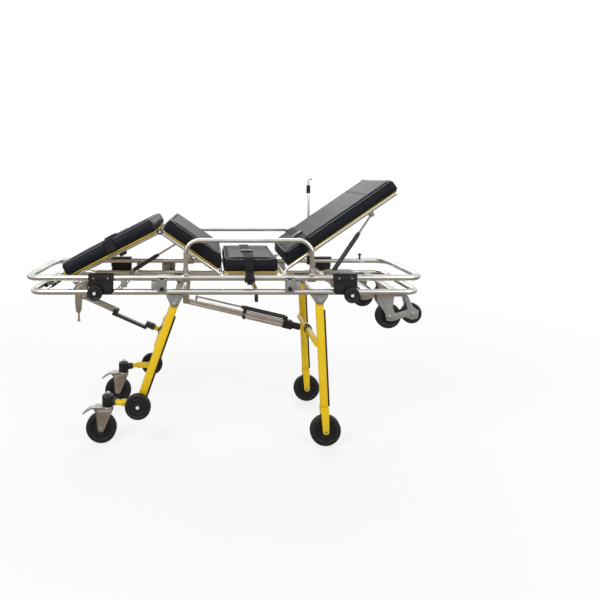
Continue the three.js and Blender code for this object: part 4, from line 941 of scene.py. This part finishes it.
latch = lambda x: [(x - 26, RAIL_Z + 4), (x + 26, RAIL_Z + 4), (x + 22, 750), (x - 22, 750)]
assembly(
    "stretcher_ring", "stretcher", ["upper_frame"],
    polished_aluminium=[
        ring(-965, 965, RAIL_Z, RAIL_R, 75),
        *[rod_y(x, 830, -261, 261, 9) for x in (-15, 297)], *[rod_y(x, 783, -261, 261, 10) for x in (-486, 535)],
        *[block(x - 24, x + 24, s * 271, s * 284.7, 812, 823, 2) for x in (-300, 319) for s in (-1, 1)],
        *[block(a, b, -257, 257, 822, 841, 1.5) for a, b in ((6, 20), (262, 276))],
    ],
    grey_casting=[*[block(x - 14, x + 14, s * 265 - 9, s * 265 + 9, 774, 820, 3) for x in (-486, 535) for s in (-1,
        1)], ears(-498, -474, 780, 815, 0, 12.5), rod_y(-486, 806, -16, 16, 4),
        *[plate(latch(x), s * 280.7, s * 284.7, 6, 0.9) for x in (-300, 319) for s in (-1, 1)],
        ears(517, 655, 786, 838, -150, 12.5), block(517, 553, -166, -134, 780, 790, 1.5)],
    board_paint=[block(0, 282, -244, 244, 840, 845.6, 1.5)],
    black_plastic=[
        block(498, 522, 241, 289, 798, 838, 4), *[block(498, 522, y, y + 4, 830, 858, 1.5) for y in (261, 281)],
        *[lathe(rounded([(0.01, 0), (5, 0), (5, 20), (9, 24), (9, 33), (0.01, 33)], [0, 0.5, 2, 2, 3, 0], 3), (807,
            253, 830), Z, 28)],
    ],
    plated_steel=[rod_y(510, 850, 258, 288, 4),
        *[screw(x + dx, s * 284.7, 812, s, 4.5, 3) for x in (-300, 319) for dx in (-15, 15) for s in (-1, 1)]],
)
knob = rounded([(0.01, 0), (5, 0), (5, 5), (9, 5.5), (10, 8), (10, 13), (8.5, 15.5), (0.01, 15.5)], [0, 0.4, 1, 1, 1,
    1.5, 1.5, 0], 3)
for where, x in (("foot", -300), ("head", 319)):
    for side, s in SIDES:
        assembly(f"latch_knob_{where}_{side}_turned", f"latch_{where}_{side}", [f"latch_knob_{where}_{side}"],
            black_plastic=[lathe(knob, (x, s * 280.4, 769), Y * s, 36)])

# %% [markdown]
# ## Stretcher wheel brackets
# Moulded black brackets wrap the rail from above and carry a small wheel outboard. A raised border stiffens the plate.
# %% Stretcher wheel brackets
for where, wx, wz, x0, x1, lobe, m in (("foot", -621, 752, -656, -534, -560, -1), ("head", 614, 742, 530, 644, 556,
    1)):
    outer, inner = (x0, x1) if m < 0 else (x1, x0)
    shape = [(outer, 841), (outer, 785), (wx + m * 14, wz - 12), (wx - m * 12, wz - 12), (lobe + m * 20, 742),
        (lobe - m * 14, 742), (inner, 756), (inner, 841)]
    hole = lambda x, z, s: rod_y(x, z, s * 287, s * 288.6, 3.5, 20, 0.5)
    for side, s in SIDES:
        assembly(
            f"wheel_bracket_{where}_{side}_moulded", "stretcher", [f"wheel_bracket_{where}_{side}"],
            black_plastic=[plate(shape, s * 280.5, s * 287.5, [6, 8, 10, 10, 12, 12, 12, 6], 2), block(x0, x1,
                s * 251, s * 287.5, 835.3, 841, 2),
                plate([(x0 + 10, 834), (x0 + 10, 806), (x1 - 10, 806), (x1 - 10, 834)], s * 286, s * 289, 5, 1.4),
                rod_y(lobe, 768, s * 286, s * 289.5, 22, 40, 1.4)],
            plated_steel=[rod_y(wx, wz, s * 283, s * 311, 5),
                *[rod_y(x, 820, s * 288, s * 290.4, 4.5, 20, 1) for x in (x0 + 26, x1 - 26)]],
            white_plastic=[cap(wx, s * 309.6, wz, s, 7.5)],
        )

# %% [markdown]
# ## Side rails and drip pole
# Each side rail is one bent tube in two sockets that turn on the ring. The drip pole is a thin tube with a ribbed grip and a hooked rod.
# %% Side rails
for side, s in SIDES:
    y = s * 275
    hoop = rounded([(-185, y, 836), (-185, y, 1002), (426, y, 1002), (426, y, 836)], 62, 14, False)
    socket = rounded([(11, 0), (15, 0), (15.5, 4), (14, 8), (14, 26), (15, 30), (11, 30)], 1.0, 2)
    assembly(
        f"side_rail_{side}_bent", f"rail_{side}", [f"side_rail_{side}"],
        polished_aluminium=[sweep(hoop, circle(11, 28))],
        plated_steel=[
            *[lathe(socket, (x, y, 834), Z, 40) for x in (-185, 426)],
            *[lathe(rounded([(15.9, -19), (21, -19), (21, 19), (15.9, 19)], 1.5, 3), (x, s * 265, 820), X,
                48) for x in (-185, 426)],
            *[screw(x, y + s * 13, 850, s, 4, 3) for x in (-185, 426)],
        ],
    )

# %% Drip pole
px, py, pz = 510, 273, 850
grip = rounded([(4.7, 0), (10, 0), (11, 3), (11, 45), (10, 48), (4.7, 48)], 1.2, 3)
assembly(
    "drip_pole", "pole", ["pole_tube"],
    polished_aluminium=[rod((px, py, 842), (px, py, 1217), 7, 28)],
    black_plastic=[lathe(grip, (px, py, 1215), Z, 36),
        *[lathe(rounded([(10.5, -1), (11.6, -1), (11.6, 1), (10.5, 1)], 0.4, 2), (px, py, 1222 + 5 * k), Z,
            36) for k in range(7)]],
)
hook = rounded([(px, py, 916), (px, py, 1292), (px + 10, py, 1302), (px + 21, py, 1297)], [0, 9, 6, 0], 8, False)
assembly("drip_hook", "hook", ["pole_hook"], plated_steel=[sweep(hook, circle(4, 20))])

# %% [markdown]
# ## Platform frames
# Two long tubes and a painted board make each moving section. The board of the leg section turns up at the foot as a yellow lip.
# %% Thigh, leg and back frames
FRAME_R = 9


def boss(x, z, y):
    return rod_y(x, z, y - 11, y + 11, 14, 36, 1.5)


assembly(
    "thigh_section", "thigh", ["thigh_frame"],
    polished_aluminium=[
        *[boss(-15, 830, s * 224) for s in (-1, 1)],
            *[rod(at(thigh_at(0, 0), s * 224), at(thigh_at(377, 0), s * 224), FRAME_R) for s in (-1, 1)],
        rod_y(*thigh_at(195, 4), -224, 224, 8),
    ],
    board_paint=[board(thigh_at, 26, 357, 11, 15.7, 232),
        *[plate([thigh_at(40, 4), thigh_at(345, 4), thigh_at(345, 12), thigh_at(40, 12)], s * 224 - 3, s * 224 + 3,
            0.5, 0.3) for s in (-1, 1)]],
    grey_casting=[plate([thigh_at(237, 12), thigh_at(273, 12), thigh_at(264, -25), thigh_at(246, -25)], s * 12.5,
        s * 16.5, [1, 1, 6, 6], 0.8) for s in (-1, 1)],
)
assembly(
    "leg_section", "leg", ["leg_frame"],
    polished_aluminium=[*[rod(at(leg_at(-9, 0), s * 203), at(leg_at(514, 0), s * 203), FRAME_R) for s in (-1, 1)],
        rod_y(*leg_at(506, 0), -203, 203, 8)],
    board_paint=[board(leg_at, 22, 514, 8, 15.7, 232, 1.5)],
    yellow_paint=[board(leg_at, 508, 518, 8, 16, 230, 2.0),
        plate([leg_at(513.6, 10), leg_at(518, 10), leg_at(518, 44), leg_at(513.6, 44)], -216, 216, [0.5, 1, 2, 2],
            1.0),
        *[plate([leg_at(486, 10), leg_at(518, 10), leg_at(518, 40), leg_at(508, 40)], s * 217, s * 220, [1, 3, 6, 6],
            0.8) for s in (-1, 1)]],
    black_plastic=[*[rod_y(*KNEE, s * 233.8, s * 239, 14, 36, 2) for s in (-1, 1)], rod_y(*KNEE, -233, 233, 5),
        *[plate([leg_at(195, -6), leg_at(238, -6), leg_at(232, -22), leg_at(201, -22)], s * 194, s * 212, 4,
            2) for s in (-1, 1)]],
    white_plastic=[cap(KNEE[0], s * 238.0, KNEE[1], s, 6) for s in (-1, 1)],
)
assembly(
    "back_section", "back", ["back_frame"],
    polished_aluminium=[
        *[boss(297, 830, s * 224) for s in (-1, 1)],
        *[sweep(rounded([at(back_at(4, 3), s * 224), at(back_at(34, 14.5), s * 224), at(back_at(680, 14.5), s * 224)],
            [0, 30, 0], 8, False), circle(FRAME_R, 28)) for s in (-1, 1)],
        rod_y(*back_at(680, 14.5), -229, 229, FRAME_R, 32, 3),
    ],
    board_paint=[board(back_at, 40, 690, 21, 25.7, 232)],
    grey_casting=[plate([back_at(520, 24), back_at(560, 24), back_at(549, -29), back_at(531, -29)], -150 + s * 12.5,
        -150 + s * 16.5, [1, 1, 6, 6], 0.8) for s in (-1, 1)] + [rod_y(*back_at(540, -20), -164, -136, 4)],
)


# %% [markdown]
# ## Cushions
# The pads are firm foam in a vinyl cover, so they are crowned a little and their sides draw in between the corners.
# A closed shape slightly smaller than the pad's space is remeshed finely, and Blender's cloth blows it up with a light pressure;
# the travel is capped and the underside stays on its board. The seams are pressed in afterwards, because a remesh would smooth them away,
# and piping is a thin cord swept along those seams, laid on the swollen surface.
# %% Cushion maker
VOXEL = 0.006


def swell(ob, frames=14, pressure=4.0):
    """Cloth with pressure and no gravity, from a voxel remesh of 6 mm; returns the coordinates before and after."""
    remesh = ob.modifiers.new("remesh", "REMESH")
    remesh.mode, remesh.voxel_size = "VOXEL", VOXEL
    bpy.context.view_layer.objects.active = ob
    bpy.ops.object.modifier_apply(modifier=remesh.name)
    n = len(ob.data.vertices)
    before = np.zeros(n * 3, np.float32)
    ob.data.vertices.foreach_get("co", before)
    cloth = ob.modifiers.new("cloth", "CLOTH")
    cloth.settings.quality = 4
    cloth.settings.mass = 0.4
    cloth.settings.use_pressure = True
    cloth.settings.uniform_pressure_force = pressure
    cloth.settings.effector_weights.gravity = 0
    cloth.settings.tension_stiffness = cloth.settings.compression_stiffness = 40
    cloth.settings.bending_stiffness = 2.0
    cloth.collision_settings.use_self_collision = False
    cloth.point_cache.frame_end = frames
    for number in range(1, frames + 1):
        scene.frame_set(number)
    bpy.ops.object.modifier_apply(modifier=cloth.name)
    scene.frame_set(1)
    after = np.zeros(n * 3, np.float32)
    ob.data.vertices.foreach_get("co", after)
    return before.reshape(-1, 3), after.reshape(-1, 3)


def section_axes(where):
    """Origin and the two unit axes of a section's (d, n) coordinates, as x, y, z in metres."""
    o, d, n = (np.array(at(where(*k), 0)) for k in ((0, 0), (1, 0), (0, 1)))
    return o * MM, d - o, n - o


def cushion(name, node, body, where, outline, corner, half=250.0, cap_mm=6.0, tuck=()):
    """A pad on a section: swollen, its underside flat, its seams pressed in and piped."""
    inset = 4.0
    o, ed, en = section_axes(where)
    side = rounded([where(d, n) for d, n in outline], corner, 4)
    shape = prism(side, (0, -half + inset, 0), (X, Z, Y), 2 * (half - inset), 8.0)
    ob = piece(name, [shape], "black_vinyl", body, [node], 60)
    before, after = swell(ob)
    move = after - before
    length = np.linalg.norm(move, axis=1, keepdims=True)
    move *= np.minimum(1.0, cap_mm * MM / np.maximum(length, 1e-9))
    local = before - o
    d, n, y = local @ ed, local @ en, before[:, 1]
    low, high = min(q for _, q in outline) * MM, max(q for _, q in outline) * MM
    d0, d1 = min(q for q, _ in outline) * MM, max(q for q, _ in outline) * MM
    lift = np.clip((n - low) / 0.012, 0, 1)[:, None]
    along_n = (move @ en)[:, None] * en
    move = move - along_n * (1 - lift)
    # sides draw in between the corners: a cosine of the place along each side
    ends = np.clip(np.minimum(d - d0, d1 - d) / 0.12, 0, 1)
    middle = np.sin(ends * math.pi / 2) * np.exp(-(((n - (low + high) / 2) / ((high - low) * 0.33)) ** 2))
    edge = np.clip((np.abs(y) - (half * MM - 0.02)) / 0.012, 0, 1)
    move[:, 1] -= np.sign(y) * edge * middle * 0.0025
    # broad, soft unevenness of the cover and the crown of the top
    crown = np.clip((n - (high - 0.02)) / 0.01, 0, 1) * (1 - (y / (half * MM)) ** 2) * np.clip(ends * 1.5, 0, 1)
    ripple = np.sin(d * 41 + y * 13) * np.sin(y * 37 - d * 9) + 0.6 * np.sin(d * 97 + np.sin(y * 60) * 1.3)
    move += (crown * (0.0025 + 0.0005 * ripple))[:, None] * en
    co = before + move
    # tuck lines: sewn channels across the pad
    for line in tuck:
        co -= ((0.0035 * np.exp(-(((d - line * MM) / 0.0045) ** 2)) * np.clip((n - (high - 0.02)) / 0.01, 0, 1)))[:,
            None] * en
    # seams: just inside the upper and lower edges of the side walls
    for level in (high - 0.0065, low + 0.0065):
        near = np.exp(-(((n - level) / 0.0028) ** 2)) * np.clip((np.abs(y) - (half * MM - 0.014)) / 0.004, 0, 1)
        co[:, 1] -= np.sign(y) * near * 0.0014
    ob.data.vertices.foreach_set("co", co.astype(np.float32).ravel())
    ob.data.shade_smooth()
    ob.data.update()
    sub = ob.modifiers.new("subdivision", "SUBSURF")
    sub.levels = sub.render_levels = 1
    rim = [d for d, n in outline if n > high / MM - 1]
    top = piping(name + "_piping", body, co, o, ed, en, min(rim) * MM, max(rim) * MM, high, half * MM)
    print(name, len(co), "points, widest swell", round(float(length.max()) * 1000, 1), "mm; piping", top)
    return ob


def piping(name, body, co, o, ed, en, d0, d1, high, half):
    """A 2.2 mm cord round the top edge: a rounded rectangle in (d, y), each point lifted to the pad's surface there."""
    r = 0.016
    flat = rounded([(d0 + 0.008, -half + 0.008), (d1 - 0.008, -half + 0.008), (d1 - 0.008, half - 0.008), (d0 + 0.008,
        half - 0.008)], r, 6)
    step = np.concatenate([np.linspace(flat[k], flat[(k + 1) % len(flat)], 24,
        endpoint=False) if np.linalg.norm(flat[(k + 1) % len(flat)] - flat[k]) > 0.05 else flat[k : k + 1] for k in range(len(flat))])
    local = co - o
    d, n, y = local @ ed, local @ en, co[:, 1]
    top = n > high - 0.030
    dist = (step[:, None, 0] - d[None, top]) ** 2 + (step[:, None, 1] - y[None, top]) ** 2
    height = np.array([n[top][row < 0.008**2].max(initial=high - 0.004) for row in dist])
    height = (height + np.roll(height, 1) + np.roll(height, -1)) / 3 - 0.0004
    path = o + step[:, :1] * ed + height[:, None] * en
    path[:, 1] = step[:, 1]
    t = unit(np.roll(path, -1, 0) - np.roll(path, 1, 0))
    side = unit(np.cross(t, en))
    ring_ = circle(0.0024, 10)
    rings = path[:, None] + ring_[None, :, :1] * side[:, None] + ring_[None, :, 1:] * np.cross(side, t)[:, None]
    piece(name, [loft(rings / MM, looped=True)], "edge_piping", body, (), 80)
    return len(path)


# %% The four pads
cushion("seat_pad", "seat_cushion", "stretcher", seat_at, [(0, 17), (268, 17), (268, 78), (0, 78)], 12)
cushion("thigh_pad", "thigh_cushion", "thigh", thigh_at, [(14, 17.5), (364, 17.5), (364, 78), (54, 78)], [4, 12, 12,
    14])
cushion("leg_pad", "leg_cushion", "leg", leg_at, [(12, 17.5), (508, 17.5), (508, 78), (12, 78)], 12)
cushion("back_pad", "back_cushion", "back", back_at, [(28, 27.5), (702, 27.5), (702, 84), (62, 84), (61, 62)], [4, 12,
    12, 10, 12], tuck=(560,))


# %% [markdown]
# ## Belts
# Each belt is a woven band that runs over its pad and down both sides, with a moulded buckle on top and a loose end past the near edge.
# A flat band is swept directly, because a remesh would erase it, and its UV map carries the weave in millimetres.
# %% Belts
def belt(name, node, body, where, d, half, low, high, buckle_y):
    """The band's path in (y, n) hugs the pad; its section is 50 mm along the pad and 1.8 mm thick with soft edges."""
    o, ed, en = section_axes(where)
    o, centre = o / MM, d + 25
    flat = rounded([(-half - 2.2, low + 10), (-half - 2.2, high + 1.8), (0, high + 4.2), (half + 2.2, high + 1.8),
        (half + 2.2, low + 10)], [0, 12, 900, 12, 0], 8, False)
    path = o + centre * ed + flat[:, 1:] * en
    path[:, 1] = flat[:, 0]
    band = oblong(1.8, 50, 0.8, 3)
    lip = rounded([(-half - 4.0, low + 34), (-half - 4.6, low + 8)], 0, 2, False)
    loose = o + centre * ed + lip[:, 1:] * en
    loose[:, 1] = lip[:, 0]
    top = lambda l, y, h: tuple(o + (centre + l) * ed + (high + 4.6 + h) * en + np.array([0, y, 0]))

    def tile(l0, l1, y0, y1, h0, h1, f):
        return prism(oblong(l1 - l0, y1 - y0, 4, 4), np.array(top((l0 + l1) / 2, (y0 + y1) / 2, h0)), (ed, Y, en),
            h1 - h0, f)
    y = buckle_y
    assembly(
        name, body, [node],
        black_webbing=[sweep(path, band, ed), sweep(loose, oblong(1.6, 46, 0.7, 3), ed)],
        black_plastic=[tile(-31, 31, y - 36, y + 6, -1, 7, 2.5), tile(-25, 25, y + 8, y + 34, -1, 6, 2), tile(-29,
            -22, y - 2, y + 22, 0, 5.5, 1.5), tile(22, 29, y - 2, y + 22, 0, 5.5, 1.5), tile(-12, 12, y - 26, y - 12,
                6, 8, 1)],
        plated_steel=[tile(-18, 18, y + 12, y + 16, 5.4, 6.8, 0.6)],
    )


belt("seat_belt_woven", "seat_belt", "stretcher", seat_at, 100, 250, 16, 84, -40)
# the loose end of the seat belt: over the near rail and down its outside, with its buckle
over_rail = rounded([(-253, 852), (-284.5, 843), (-284.5, 818)], [0, 9, 0], 8, False)
assembly(
    "seat_belt_end", "stretcher",
    black_webbing=[sweep(np.array([(125, y, z) for y, z in over_rail]), oblong(1.6, 40, 0.7, 3), X)],
    black_plastic=[block(100, 150, -290, -281.8, 800, 828, 2.5), block(112, 138, -289, -282.5, 789, 802, 2)],
)
belt("leg_belt_woven", "leg_belt", "leg", leg_at, 224, 250, 16, 84, -120)
belt("chest_belt_woven", "chest_belt", "back", back_at, 150, 250, 26, 90, -60)
